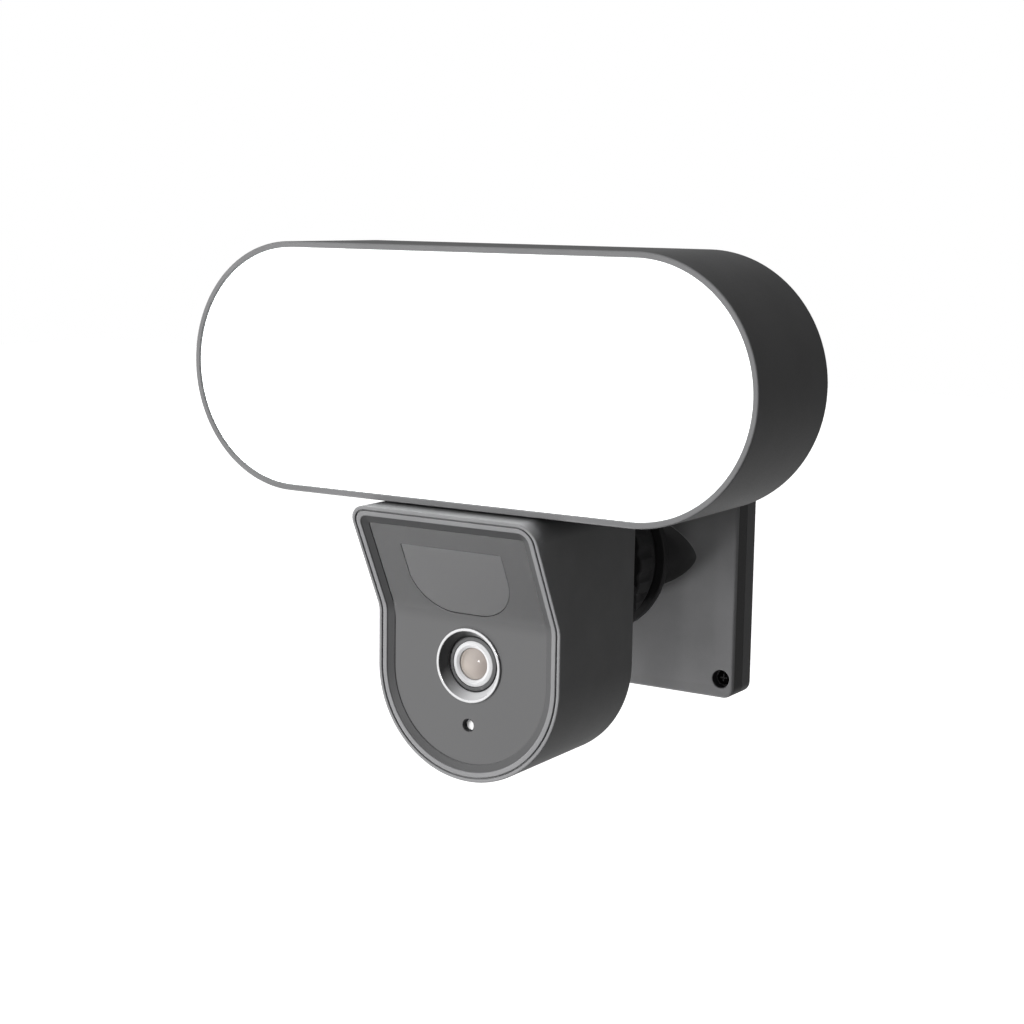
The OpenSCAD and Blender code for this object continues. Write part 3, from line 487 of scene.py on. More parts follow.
def opal_glow(name):
    """The lit opal diffuser: a white cover that glows, with a faint cloudy tint in its glow."""
    material, tree, bsdf = shader(name)
    fine = noise(tree, 900.0, 3.0)
    milk = mixed(tree, ranged(tree, fine, 0.0, 1.0), (0.9, 0.92, 0.92), (0.94, 0.96, 0.96))
    tree.links.new(milk, bsdf.inputs["Base Color"])
    tree.links.new(ranged(tree, fine, 0.34, 0.42), bsdf.inputs["Roughness"])
    cloud = noise(tree, 18.0, 1.0)
    glow = mixed(tree, ranged(tree, cloud, 0.0, 1.0), (0.95, 1.0, 0.99), (1.0, 1.0, 1.0))
    tree.links.new(glow, bsdf.inputs["Emission Color"])
    bsdf.inputs["Emission Strength"].default_value = 1.0
    bumped(tree, bsdf, fine, 0.1, 0.00004)
    return material


def coated_glass(name):
    """The lens: warm coated glass over a pale iris, with painted shade: dark brown at one side, paler pink at the
    other.
    """
    material, tree, bsdf = shader(name)
    place = tree.nodes.new("ShaderNodeTexCoord")
    split = tree.nodes.new("ShaderNodeSeparateXYZ")
    tree.links.new(place.outputs["Object"], split.inputs["Vector"])
    # Painted shade: the glass darkens towards its left side.
    across = ranged(tree, split.outputs["X"], 0.0, 1.0, glass_low.x, glass_high.x)
    tint_and_shade = mixed(tree, across, (0.14, 0.125, 0.11), (0.32, 0.28, 0.26))
    cloud = noise(tree, 160.0, 2.0)
    clouded = mixed(tree, ranged(tree, cloud, 0.0, 0.3, 0.1, 0.9), tint_and_shade, (0.34, 0.3, 0.26))
    tree.links.new(clouded, bsdf.inputs["Base Color"])
    tree.links.new(ranged(tree, cloud, 0.12, 0.15, 0.1, 0.9), bsdf.inputs["Roughness"])
    bsdf.inputs["IOR"].default_value = 1.6
    return material


def shaded_funnel(name):
    """The funnel inside the lens ring: satin silver with painted shade at its upper left and a painted reflection
    towards its lower right.
    """
    material, tree, bsdf = shader(name)
    bsdf.inputs["Metallic"].default_value = 0.5
    place = tree.nodes.new("ShaderNodeTexCoord")
    # Painted shade and reflection: the colour runs from near black at the upper left to pale silver at the lower
    # right.
    facing = tree.nodes.new("ShaderNodeVectorMath")
    facing.operation = "DOT_PRODUCT"
    facing.inputs[1].default_value = Vector((0.85, 0.0, -0.53))
    tree.links.new(place.outputs["Object"], facing.inputs[0])
    middle = -0.53 * (ring_low.z + ring_high.z) / 2
    reach = ring_high.x
    across = ranged(tree, facing.outputs["Value"], 0.0, 1.0, middle - 0.6 * reach, middle + 0.5 * reach)
    tree.links.new(mixed(tree, across, (0.04, 0.04, 0.041), (0.62, 0.62, 0.63)), bsdf.inputs["Base Color"])
    fine = noise(tree, 900.0, 2.0)
    tree.links.new(ranged(tree, fine, 0.36, 0.44), bsdf.inputs["Roughness"])
    return material


housing = moulded("housing_plastic", (0.105, 0.105, 0.107), 0.5)
# Painted light: the head's shell and bezel get a paler copy of the housing plastic, standing in for the light on their
# front.
lit_head_housing = moulded("housing_plastic_head_lit", (0.15, 0.15, 0.153), 0.5, edge_highlight=0.1)
shaded_housing = moulded("housing_plastic_shaded", (0.03, 0.03, 0.031), 0.5)
# A near-black copy of the housing plastic for the mount foot and ring nut: partly dark plastic, partly painted shade
# over the mount.
dark_housing_and_shade = moulded("housing_plastic_dark_and_shade", (0.026, 0.026, 0.027), 0.46)
# Partly a glossier finish, partly painted shade: a dark copy of the plastic for the bezel's sunk slope, which keeps
# its left and top dark.
polished_bevel_shade = glossy("bevel_polished_shade", (0.04, 0.04, 0.041), 0.36)
black_plastic = moulded("black_plastic", (0.012, 0.012, 0.013), 0.5)
barrel_black = moulded("barrel_plastic", (0.07, 0.07, 0.071), 0.45)
rubber = moulded("rubber", (0.008, 0.008, 0.009), 0.7, grain=0.35, grain_scale=1800.0, edge_highlight=0.15)
nylon = moulded("nylon", (0.62, 0.6, 0.55), 0.45, vary=0.04, edge_highlight=0.1)
panel_gloss = glossy("panel_gloss", (0.044, 0.044, 0.045), 0.22, ior=1.8)
pir_smoke = glossy("pir_smoke", (0.06, 0.06, 0.061), 0.3, ior=1.8)
steel = metal("plated_steel", (0.58, 0.59, 0.6), 0.28)
# Near-black steel for the wall screw heads: partly dark steel, partly painted shade inside their holes.
black_steel_and_shade = metal("black_steel_and_shade", (0.006, 0.006, 0.006), 0.75)
silver = metal("turned_silver", (0.8, 0.8, 0.81), 0.26, (60.0, 60.0, 60.0), 0.0)
# Painted light: the wall plate gets a paler copy of the housing plastic, standing in for the light on its front.
lit_plate_housing = moulded("housing_plastic_plate_lit", (0.165, 0.165, 0.168), 0.6)
aluminium = metal("sheet_aluminium", (0.78, 0.79, 0.8), 0.34, (40.0, 900.0, 900.0))
pearl = glossy("pearl_ring", (0.41, 0.41, 0.415), 0.35)
glass = coated_glass("lens_glass")
board = circuit_board("circuit_board")
antenna = metal("antenna_film", (0.6, 0.42, 0.16), 0.35)
insulation = moulded("wire_insulation", (0.4, 0.04, 0.035), 0.4, vary=0.05, edge_highlight=0.1)
opal = opal_glow("opal_diffuser")
white_film = moulded("white_film", (0.82, 0.82, 0.82), 0.4, vary=0.02, edge_highlight=0.0)
phosphor = glossy("led_phosphor", (0.85, 0.72, 0.25), 0.25)

SLOT_MATERIAL = {
    "housing": housing, "black_plastic": black_plastic, "rubber": rubber, "nylon": nylon,
    "steel": steel, "gloss_panel": panel_gloss, "pir_film": pir_smoke, "silver_ring": silver,
    "pearl_ring": pearl, "lens_glass": glass, "circuit": board, "antenna": antenna,
    "wire": insulation, "opal": opal, "white_sheet": white_film, "led": phosphor,
    "aluminium": aluminium,
}
for part in frame["record"]["subparts"]:
    node = frame["nodes"][part["node"]]
    node.data.materials.clear()
    node.data.materials.append(SLOT_MATERIAL[part["material_slot"]])

# ---------------------------------------------------------------- lamp

lamp_profile = rounded([
    (0, lamp_low.y, 0.0007), (LAMP_RIM, lamp_low.y, 0.0003),
    (LAMP_RIM, lamp_high.y, 0.0004), (0, lamp_high.y, 0.001),
], closed=True)
lamp = loft("lamp_housing_moulding", [[(x, y, z) for x, z in stadium(inset)] for inset, y in lamp_profile], True)
shelf_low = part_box("diffuser_seal")[1].y
shelf = loft("shelf", [
    [(x, y, z) for x, z in stadium(inset)]
    for inset, y in (
        (LAMP_RIM - 0.0002, shelf_low), (LAMP_RIM + 0.006, shelf_low),
        (LAMP_RIM + 0.006, shelf_low + 0.003), (LAMP_RIM - 0.0002, shelf_low + 0.003),
    )
], True)
combine(lamp, [shelf], "UNION")
finished(lamp, housing, "housing", "camera_head", "lamp_housing")

FIT = 0.0001
dish_t = 0.002
dish_end = LAMP_R * 0.5
dish_profile = rounded([
    (dish_end, diffuser_low.y, 0), (LAMP_RIM + FIT, diffuser_low.y, 0.0006),
    (LAMP_RIM + FIT, diffuser_high.y, 0), (LAMP_RIM + FIT + dish_t, diffuser_high.y, 0),
    (LAMP_RIM + FIT + dish_t, diffuser_low.y + dish_t, 0.001), (dish_end, diffuser_low.y + dish_t, 0),
])
dish = loft("lamp_diffuser_cover", [[(x, y, z) for x, z in stadium(inset)] for inset, y in dish_profile])
finished(dish, opal, "opal", "camera_head", "lamp_diffuser")

cover_front = cover_high.y - 0.003
cover_profile = rounded([
    (LAMP_RIM + FIT, cover_front, 0.0003), (LAMP_RIM + FIT, cover_high.y, 0.0006),
    (LAMP_RIM + 0.009, cover_high.y, 0.0004), (LAMP_RIM + 0.0096, cover_high.y - 0.0007, 0.0004),
    (LAMP_R * 0.6, cover_high.y - 0.0007, 0),
])
cover_profile = [(LAMP_R * 0.6, cover_front)] + cover_profile
cover = loft("lamp_back_cover", [[(x, y, z) for x, z in stadium(inset)] for inset, y in cover_profile])
screw_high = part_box("back_screws")[1]
HEAD_HOLE = 0.0029
SHANK_HOLE = 0.0016
screw_x = screw_high.x - 0.0028
screw_z = screw_high.z - 0.0028
tools = []
for sx in (-1, -0.45, 0.45, 1):
    for z in (screw_z, 2 * LAMP_Z - screw_z):
        tools.append(bore(sx * screw_x, z, HEAD_HOLE, cover_high.y, cover_high.y - 0.0021, 0.0003))
        tools.append(bore(sx * screw_x, z, SHANK_HOLE, cover_high.y - 0.0019, cover_front - 0.001))
cut(cover, *tools)
finished(cover, housing, "housing", "camera_head", "lamp_back")

# ---------------------------------------------------------------- camera head

inner_back = HEAD_BACK - BACK_WALL
lip_profile = rounded([
    (SHELL_WALL, 0.004, 0), (SHELL_WALL, GROOVE_DEPTH, 0), (LIP, GROOVE_DEPTH, 0.0001),
    (LIP, 0, 0.0003), (0, 0, 0.0006), (0, 0.004, 0),
])
shell_profile = on_plane([(SHELL_WALL, inner_back)]) + on_face(lip_profile)
shell_profile += on_plane(rounded([(0, HEAD_BACK - 0.004, 0), (0, HEAD_BACK, 0.0012), (0.004, HEAD_BACK, 0)], steps=7))
shell = loft("camera_shell_moulding", head_rings(shell_profile))
tools = [bore(0, 0, 0.007, HEAD_BACK, inner_back - 0.001)]
top_x = HEAD_R - 0.0104
low_x = HEAD_R * 0.55
low_z = ARC_Z - HEAD_R * 0.5
shell_screws = [(s * top_x, HEAD_TOP - 0.0085) for s in (-1, 1)] + [(s * low_x, low_z) for s in (-1, 1)]
for x, z in shell_screws:
    tools.append(bore(x, z, HEAD_HOLE, HEAD_BACK, HEAD_BACK - 0.0021, 0.0003))
    tools.append(bore(x, z, SHANK_HOLE, HEAD_BACK - 0.0019, inner_back - 0.001))
speaker_low, speaker_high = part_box("speaker")
speaker_z = (speaker_low.z + speaker_high.z) / 2
for i in range(-2, 3):
    slot_outline = round_rect(0.009, 0.0008, 0.00079, (0, speaker_z + i * 0.004), 8)
    tools.append(loft("slot", [[(x, y, z) for x, z in slot_outline] for y in (inner_back - 0.001, HEAD_BACK + 0.001)]))
frame_low, frame_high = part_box("port_frame")
port_x = (frame_low.x + frame_high.x) / 2
port_z = (frame_low.z + frame_high.z) / 2
port_outline = round_rect(
    (frame_high.x - frame_low.x) / 2 + FIT, (frame_high.z - frame_low.z) / 2 + FIT, 0.0024, (port_x, port_z),
)
tools.append(loft("port", [[(x, y, z) for x, z in port_outline] for y in (inner_back - 0.001, HEAD_BACK + 0.001)]))
cut(shell, *tools)
finished(shell, lit_head_housing, "housing", "camera_head", "camera_shell")

bezel_in = LIP + GROOVE + BEZEL_LIP
bezel_profile = rounded([
    (LIP + GROOVE, 0.006, 0), (LIP + GROOVE, 0, 0.00035), (bezel_in, 0, 0.0004),
    (bezel_in + 0.0002, 0.0004, 0.0002), (bezel_in + BEVEL_W, PANEL_DEPTH - 0.0002, 0.0002),
    (bezel_in + BEVEL_W, PANEL_DEPTH, 0), (bezel_in, PANEL_DEPTH, 0), (bezel_in, 0.006, 0),
], closed=True)
bezel = loft("face_bezel_moulding", head_rings(on_face(bezel_profile)), True)


def on_bevel(centre, normal):
    """Whether a face of the bezel lies on its sunk slope."""
    depth = centre.y - bent(centre.z, 0, LIP_BEND)
    return 0.0003 < depth < PANEL_DEPTH - 0.0001


finished(
    bezel, lit_head_housing, "housing", "camera_head", "face_bezel",
    second=polished_bevel_shade, where=on_bevel,
)


def half_width(z, inset):
    """Half the head's width at a height, set in by inset."""
    r = HEAD_R - inset
    corner = SHELL_CORNER - inset
    rise = z - (HEAD_TOP - inset - corner)
    if z < ARC_Z:
        return math.sqrt(max(r * r - (z - ARC_Z) ** 2, 0))
    if rise > 0:
        return r - corner + math.sqrt(max(corner * corner - rise * rise, 0))
    return r


panel_inset = bezel_in + FIT
panel_r = HEAD_R - panel_inset
arc_steps = 40
panel_heights = [ARC_Z - panel_r * math.cos(math.pi / 2 * k / arc_steps) for k in range(1, arc_steps)]
panel_corner = SHELL_CORNER - panel_inset
corner_z = HEAD_TOP - SHELL_CORNER
panel_heights += side_stations(ARC_Z, corner_z)
panel_heights += [corner_z + panel_corner * math.sin(math.pi / 2 * k / 8) for k in range(1, 9)]
panel_rings = []
for z in panel_heights:
    w = half_width(z, panel_inset)
    front = bent(z, PANEL_DEPTH + FIT, PANEL_BEND)
    panel_rings.append([(-w, front, z), (w, front, z), (w, front + PANEL_T, z), (-w, front + PANEL_T, z)])
panel = loft("face_panel_gloss", panel_rings)

lens_z = (ring_low.z + ring_high.z) / 2
mic_z = (boot_low.z + boot_high.z) / 2
panel_y = FACE_Y + PANEL_DEPTH + FIT
visor_tilt = math.atan(VISOR_SLOPE)
PIR_RISE = 0.002
PIR_W = 0.047
PIR_H = 0.031
PIR_CORNER = 0.018
PIR_GAP = 0.00015
MIC_R = 0.00262


def pir_outline(grow):
    """The motion sensor window's outline: flat top, two large round bottom corners."""
    half = PIR_W / 2 + grow
    low = PIR_RISE - grow
    high = PIR_RISE + PIR_H + grow
    r = PIR_CORNER + grow
    points = []
    for side, start in ((-1, math.pi), (1, 1.5 * math.pi)):
        for k in range(25):
            a = start + math.pi / 2 * k / 24
            points.append((side * (half - r) + r * math.cos(a), low + r + r * math.sin(a)))
    points += [(half, high - 0.0004), (half - 0.0004, high), (-half + 0.0004, high), (-half, high - 0.0004)]
    return points


def on_visor(x, up, depth):
    """A point on the leaning part of the panel: up along the slope from the bend, depth behind its face."""
    c, s = math.cos(visor_tilt), math.sin(visor_tilt)
    return (x, panel_y + depth * c - up * s, BEND_Z + up * c + depth * s)


pir_cutter = loft("pir_cutter", [[on_visor(x, u, d) for x, u in pir_outline(PIR_GAP)] for d in (-0.004, 0.005)])
LENS_SEAT_R = 0.01455
seat_profile = [
    (0, panel_y - 0.002), (LENS_SEAT_R, panel_y - 0.002), (LENS_SEAT_R, panel_y + 0.004), (0, panel_y + 0.004),
]
lens_seat = turned("lens_seat", seat_profile, (0, lens_z))
mic_cutter = bore(0, mic_z, MIC_R, panel_y, panel_y + 0.004, 0.0002)
cut(panel, pir_cutter, lens_seat, mic_cutter)
finished(panel, panel_gloss, "gloss_panel", "camera_head", "face_panel", sharp=25)

pir_profile = rounded([(0.004, 0.0016, 0), (0, 0.0016, 0), (0, 0.00012, 0.00015), (0.004, 0.00012, 0)], steps=3)
pir_rings = [[on_visor(x, u, d) for x, u in pir_outline(-inset)] for inset, d in pir_profile]
pir = loft("pir_window_lens", pir_rings)
finished(pir, pir_smoke, "pir_film", "camera_head", "pir_window", sharp=25)

# Lens: thin bright ring, silver funnel, black barrel with a low cone, pale ring and glass dome
ring_r = ring_high.x
tube_r = tube_high.x
glass_r = glass_high.x
RING_SEAT = ring_r - 0.0008
LENS_Y = panel_y + 0.0025
FUNNEL_R = tube_r + (ring_r - tube_r) * 0.37
ring_profile = rounded([
    (RING_SEAT, LENS_Y + 0.0016, 0), (RING_SEAT, panel_y - 0.0001, 0), (ring_r, panel_y - 0.0001, 0.0001),
    (ring_r, panel_y - 0.0009, 0.0004), (ring_r - 0.0012, panel_y - 0.0009, 0.0003),
    (FUNNEL_R, LENS_Y + 0.0005, 0.0002), (FUNNEL_R, LENS_Y + 0.0016, 0),
], closed=True)
ring = turned("lens_ring_turned", ring_profile, (0, lens_z), 160)


def on_funnel(centre, normal):
    """Whether a face lies on the slope inside the lens ring."""
    away = math.hypot(centre.x, centre.z - lens_z)
    return centre.y > panel_y - 0.0006 and away < RING_SEAT - 0.0002 and normal.y < 0


finished(
    ring, silver, "silver_ring", "camera_head", "lens_ring",
    second=shaded_funnel("funnel_painted_shade"), where=on_funnel,
)
barrel_out = FUNNEL_R - FIT
barrel_in = tube_r + FIT
recess_profile = rounded([
    (barrel_out, LENS_Y + 0.0012, 0), (barrel_out - 0.0005, LENS_Y + 0.0012, 0),
    (barrel_out - 0.0005, LENS_Y + 0.0006, 0.0002), (barrel_in, LENS_Y + 0.0001, 0.0002),
    (barrel_in, LENS_Y + 0.0095, 0), (barrel_in + 0.0012, LENS_Y + 0.0095, 0),
    (barrel_in + 0.0012, LENS_Y + 0.0035, 0), (barrel_out, LENS_Y + 0.0035, 0),
], closed=True)


def on_barrel_cone(centre, normal):
    """Whether a face lies on the barrel's low cone."""
    return centre.y < LENS_Y + 0.0008


recess = turned("lens_barrel", recess_profile, (0, lens_z), 160)
finished(
    recess, black_plastic, "black_plastic", "camera_head", "lens_recess",
    second=barrel_black, where=on_barrel_cone,
)
tube_profile = rounded([
    (tube_r, LENS_Y + 0.0005, 0.0003), (tube_r, tube_high.y, 0), (glass_r - 0.0014, tube_high.y, 0),
    (glass_r - 0.0014, LENS_Y + 0.0034, 0), (glass_r + FIT, LENS_Y + 0.0034, 0),
    (glass_r + FIT, LENS_Y + 0.0007, 0.0003), (glass_r + 0.0013, LENS_Y, 0.0003),
], closed=True)
tube = turned("lens_tube_pearl", tube_profile, (0, lens_z), 160)
finished(tube, pearl, "pearl_ring", "camera_head", "lens_tube")
dome_h = 0.0024
dome_r = (glass_r ** 2 + dome_h ** 2) / (2 * dome_h)
dome_edge = LENS_Y + 0.0011
dome_profile = [(0, dome_edge + 0.0022), (glass_r, dome_edge + 0.0022)]
for k in range(13):
    r = glass_r * math.cos(math.pi / 2 * k / 12)
    dome_profile.append((r, dome_edge - (math.sqrt(dome_r ** 2 - r * r) - (dome_r - dome_h))))
dome = turned("lens_glass_dome", dome_profile, (0, lens_z), 96)
finished(dome, glass, "lens_glass", "camera_head", "lens_glass")

# Microphone hole: a black sleeve round a white dust mesh; the sleeve's deep black is partly painted shade inside the
# hole
sleeve_profile = [
    (MIC_R - 0.0002, panel_y + 0.0003), (MIC_R - 0.00002, panel_y + 0.0003),
    (MIC_R - 0.00002, panel_y + 0.0028), (MIC_R - 0.0002, panel_y + 0.0028),
]
sleeve = turned("mic_sleeve", sleeve_profile, (0, mic_z), 48)
finished(sleeve, rubber, "rubber", "camera_head")
mesh_profile = rounded([
    (0, panel_y + 0.0028, 0), (MIC_R - 0.0003, panel_y + 0.0028, 0), (MIC_R - 0.0003, panel_y + 0.0025, 0.0001),
    (0, panel_y + 0.0024, 0),
])
mic_mesh = turned("mic_dust_mesh", mesh_profile, (0, mic_z), 48)
finished(mic_mesh, white_film, "white_sheet", "camera_head")

# ---------------------------------------------------------------- mount

foot_r = foot_high.x
foot_profile = rounded([
    (0, foot_high.y, 0), (foot_r - 0.001, foot_high.y, 0.0006), (foot_r, foot_high.y - 0.001, 0.0005),
    (foot_r, foot_low.y, 0.0002), (0, foot_low.y, 0),
])
foot = turned("mount_foot_disc", foot_profile, steps=128)
FOOT_SCREW_R = 0.0155
tools = []
for k in range(4):
    a = math.pi / 4 + math.pi / 2 * k
    x, z = FOOT_SCREW_R * math.cos(a), FOOT_SCREW_R * math.sin(a)
    tools.append(bore(x, z, HEAD_HOLE, foot_high.y, foot_high.y - 0.0023, 0.0003))
cut(foot, *tools)
finished(foot, dark_housing_and_shade, "housing", "camera_head", "mount_foot")

GRIP_L = 0.012
FLUTES = 20
grip_r = nut_high.x
skirt_r = grip_r - 0.0019
nut_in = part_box("clamp_ring")[1].x + 0.00045
mouth = 0.0176
grip_end = nut_low.y + GRIP_L


def fluted(r, y, a):
    """The ring nut's radius at an angle: shallow round flutes that run out before the back of the grip."""
    if r < skirt_r + 0.0001:
        return r
    phase = (a * FLUTES / (2 * math.pi)) % 1.0
    valley = max(0.0, math.cos((phase - 0.5) * 2 * math.pi)) ** 0.8
    fade = min(1.0, max(0.0, (grip_end - 0.0014 - y) / 0.0012))
    return max(r - 0.0011 * valley * fade, skirt_r)


nut_profile = rounded([
    (mouth + 0.0022, nut_low.y, 0.0003), (grip_r, nut_low.y, 0.0012), (grip_r, grip_end - 0.0027, 0),
    (grip_r, grip_end - 0.0021, 0), (grip_r, grip_end - 0.0013, 0), (grip_r, grip_end, 0.0005),
    (skirt_r, grip_end, 0.0003), (skirt_r, nut_high.y, 0.0004), (nut_in, nut_high.y, 0.0003),
    (nut_in, nut_low.y + 0.002, 0.0003), (mouth, nut_low.y + 0.002, 0.0003),
], closed=True, steps=4)
nut = turned("ring_nut_grip", nut_profile, steps=FLUTES * 20, radius=fluted)
finished(nut, dark_housing_and_shade, "housing", "ring_nut", "ring_nut", sharp=40)

plate_profile = rounded([
    (0.03, BASE_FRONT, 0), (0, BASE_FRONT, 0.0004), (0, PLATE_FRONT, 0.0012), (0.03, PLATE_FRONT, 0),
], steps=6)
plate_rings = [
    [(x, y, z) for x, z in round_rect(PLATE_HALF - i, PLATE_HALF - i, max(PLATE_CORNER - i, 0.002))]
    for i, y in plate_profile
]
plate = loft("wall_plate_moulding", plate_rings)
flange_r = 0.035
FLANGE_T = 0.0035
flange_back = nut_high.y + 0.0004 + FLANGE_T
stud_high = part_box("ball_stud")[1]
BALL_Y = stud_high.y - stud_high.x
SEAT_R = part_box("seat_liner")[1].y - BALL_Y + FIT
COLLAR_R = 0.0289
flange_profile = rounded([
    (0, PLATE_FRONT + 0.004, 0), (0.0215, PLATE_FRONT + 0.004, 0), (0.0215, flange_back, 0.0015),
    (flange_r, flange_back, 0.0008), (flange_r, flange_back - FLANGE_T, 0.0006),
    (COLLAR_R, flange_back - FLANGE_T, 0.0003), (COLLAR_R, plate_low.y, 0.0004),
    (SEAT_R, plate_low.y, 0.0003), (SEAT_R, BALL_Y, 0),
], steps=4)
SEAT_STEPS = 16
for k in range(1, SEAT_STEPS + 1):
    a = math.pi / 2 * k / SEAT_STEPS
    across = SEAT_R * math.cos(a) if k < SEAT_STEPS else 0
    flange_profile.append((across, BALL_Y + SEAT_R * math.sin(a)))
flange = turned("flange", flange_profile)
WEB_HALF = 0.0395
WEB_TOP_HALF = 0.0315
WEB_H = 0.016
web_rings = []
web_front = flange_back - 0.001
for k in range(17):
    t = k / 16
    y = web_front + (PLATE_FRONT + 0.0006 - web_front) * t
    spread = WEB_TOP_HALF + (WEB_HALF - WEB_TOP_HALF) * t
    flare = 0.004 * max(0.0, (t - 0.6) / 0.4) ** 2.2
    a = spread + flare
    h = WEB_H + flare
    ring_points = []
    for side in (1, -1):
        for j in range(33):
            turn = math.pi * j / 32
            ring_points.append((side * a * math.cos(turn), y, side * h * abs(math.sin(turn)) ** 1.3))
    web_rings.append(ring_points)
web = loft("web", web_rings)
combine(plate, [flange], "UNION")
combine(plate, [web], "UNION")
tools = []
COUNTERBORE_R = 0.004
WALL_HOLE_R = 0.0022
for sx in (-1, 1):
    for sz in (-1, 1):
        tools.append(bore(sx * HOLE_X, sz * HOLE_Z, COUNTERBORE_R, PLATE_FRONT, PLATE_FRONT + 0.0045, 0.0003))
        tools.append(bore(sx * HOLE_X, sz * HOLE_Z, WALL_HOLE_R, PLATE_FRONT + 0.0043, BASE_FRONT + 0.001))
cut(plate, *tools)


def off_the_face(centre, normal):
    """Whether a face gets painted shade: the plate's sides, its screw counterbores, and the flange and web in front of
    it (partly dark plastic, partly painted shade).
    """
    edge = max(abs(centre.x), abs(centre.z)) > PLATE_HALF - 0.0004 and centre.y > PLATE_FRONT + 0.0012
    hole = math.hypot(abs(centre.x) - HOLE_X, abs(centre.z) - HOLE_Z) < COUNTERBORE_R + 0.0001
    return edge or hole or centre.y < PLATE_FRONT - 0.0004


finished(
    plate, lit_plate_housing, "housing", "wall_bracket", "wall_plate",
    second=shaded_housing, where=off_the_face,
)

base_profile = rounded([
    (0.03, base_high.y, 0), (0, base_high.y, 0.0006), (0, BASE_FRONT, 0.0004), (0.03, BASE_FRONT, 0),
], steps=6)
base_rings = [
    [(x, y, z) for x, z in round_rect(PLATE_HALF - i, PLATE_HALF - i, max(PLATE_CORNER - i, 0.002))]
    for i, y in base_profile
]
base = loft("wall_base_moulding", base_rings)
PLATE_SCREW = 0.0375
tools = []
gasket_low, gasket_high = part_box("wall_gasket")
groove_out = gasket_high.x + FIT
groove_rings = []
groove_in = groove_out - 0.0042
for half, y in (
    (groove_out, base_high.y + 0.001), (groove_out, gasket_low.y),
    (groove_in, gasket_low.y), (groove_in, base_high.y + 0.001),
):
    groove_rings.append([(x, y, z) for x, z in round_rect(half, half, 0.001)])
tools.append(loft("gasket_groove", groove_rings, True))
for sx in (-1, 1):
    for sz in (-1, 1):
        tools.append(bore(sx * HOLE_X, sz * HOLE_Z, WALL_HOLE_R, base_high.y, BASE_FRONT - 0.001, 0.0003))
        tools.append(bore(sx * PLATE_SCREW, sz * PLATE_SCREW, HEAD_HOLE, base_high.y, base_high.y - 0.003, 0.0003))
cut(base, *tools)
finished(base, housing, "housing", "wall_bracket", "wall_base")

WALL_HEAD_R = 0.0031
screws = []
for sx in (-1, 1):
    for sz in (-1, 1):
        head = turned("head", rounded([
            (0, PLATE_FRONT + 0.0044, 0), (WALL_HEAD_R, PLATE_FRONT + 0.0044, 0.0002),
            (WALL_HEAD_R, PLATE_FRONT + 0.0032, 0.0009), (0, PLATE_FRONT + 0.0024, 0),
        ]), (sx * HOLE_X, sz * HOLE_Z), 40)
        slots = []
        for w, h in ((0.0018, 0.0004), (0.0004, 0.0018)):
            outline = round_rect(w, h, 0.0001, (sx * HOLE_X, sz * HOLE_Z), 2)
            ends = (PLATE_FRONT + 0.001, PLATE_FRONT + 0.0036)
            slots.append(loft("slot", [[(x, y, z) for x, z in outline] for y in ends]))
        combine(slots[0], [slots[1]], "UNION")
        cut(head, slots[0])
        screws.append(head)
wall_screws = joined("wall_screw_heads", screws)
finished(wall_screws, black_steel_and_shade, "steel", "wall_bracket")

# ---------------------------------------------------------------- port cover

port_half_x = (port_high.x - port_low.x) / 2
port_half_z = (port_high.z - port_low.z) / 2
cover_x = (port_high.x + port_low.x) / 2
cover_z = (port_high.z + port_low.z) / 2
plug_front = HEAD_BACK + FIT
cap_profile = rounded([
    (0.004, plug_front, 0), (0, plug_front, 0.0003), (0, port_high.y - 0.0012, 0.0004), (0.0008, port_high.y, 0.0006),
    (0.004, port_high.y, 0),
], steps=4)
cap_rings = [
    [(x, y, z) for x, z in round_rect(port_half_x - i, port_half_z - i, max(0.002 - i, 0.0008), (cover_x, cover_z))]
    for i, y in cap_profile
]
cap = loft("port_cover_cap", cap_rings)
plug_outline = round_rect(port_half_x - 0.0022, port_half_z - 0.0022, 0.001, (cover_x, cover_z))
plug = loft("plug", [[(x, y, z) for x, z in plug_outline] for y in (port_low.y, plug_front + 0.0003)])
combine(cap, [plug], "UNION")
grips = []
for k in (-1, 0, 1):
    rib = round_rect(port_half_x - 0.003, 0.0004, 0.0003, (cover_x, cover_z + k * 0.002), 4)
    grips.append(loft("rib", [[(x, y, z) for x, z in rib] for y in (port_high.y - 0.0004, port_high.y + 0.001)]))
cut(cap, *grips)
finished(cap, rubber, "rubber", "port_cover", "port_cover")

# ---------------------------------------------------------------- button spring

spring_low, spring_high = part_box("button_spring")
WIRE_R = 0.0002
WIRE_SIDES = 10
COIL_STEPS = 36
SPRING_TURNS = 4.5
spring_x = (spring_low.x + spring_high.x) / 2
spring_z = (spring_low.z + spring_high.z) / 2
coil_r = (spring_high.x - spring_low.x) / 2 - WIRE_R
spring_rings = []
for k in range(int(SPRING_TURNS * COIL_STEPS) + 1):
    a = 2 * math.pi * k / COIL_STEPS
    share = k / (SPRING_TURNS * COIL_STEPS)
    y = spring_low.y + WIRE_R + (spring_high.y - spring_low.y - 2 * WIRE_R) * share
    wire = []
    for j in range(WIRE_SIDES):
        b = 2 * math.pi * j / WIRE_SIDES
        r = coil_r + WIRE_R * math.cos(b)
        wire.append((spring_x + r * math.cos(a), y + WIRE_R * math.sin(b), spring_z + r * math.sin(a)))
    spring_rings.append(wire)
spring = loft("button_spring_coil", spring_rings)
finished(spring, steel, "steel", "camera_head", "button_spring")
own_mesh(spring)

# ---------------------------------------------------------------- studio

centre = (cad_box[0] + cad_box[1]) / 2
FLOOR_DROP = 1.2


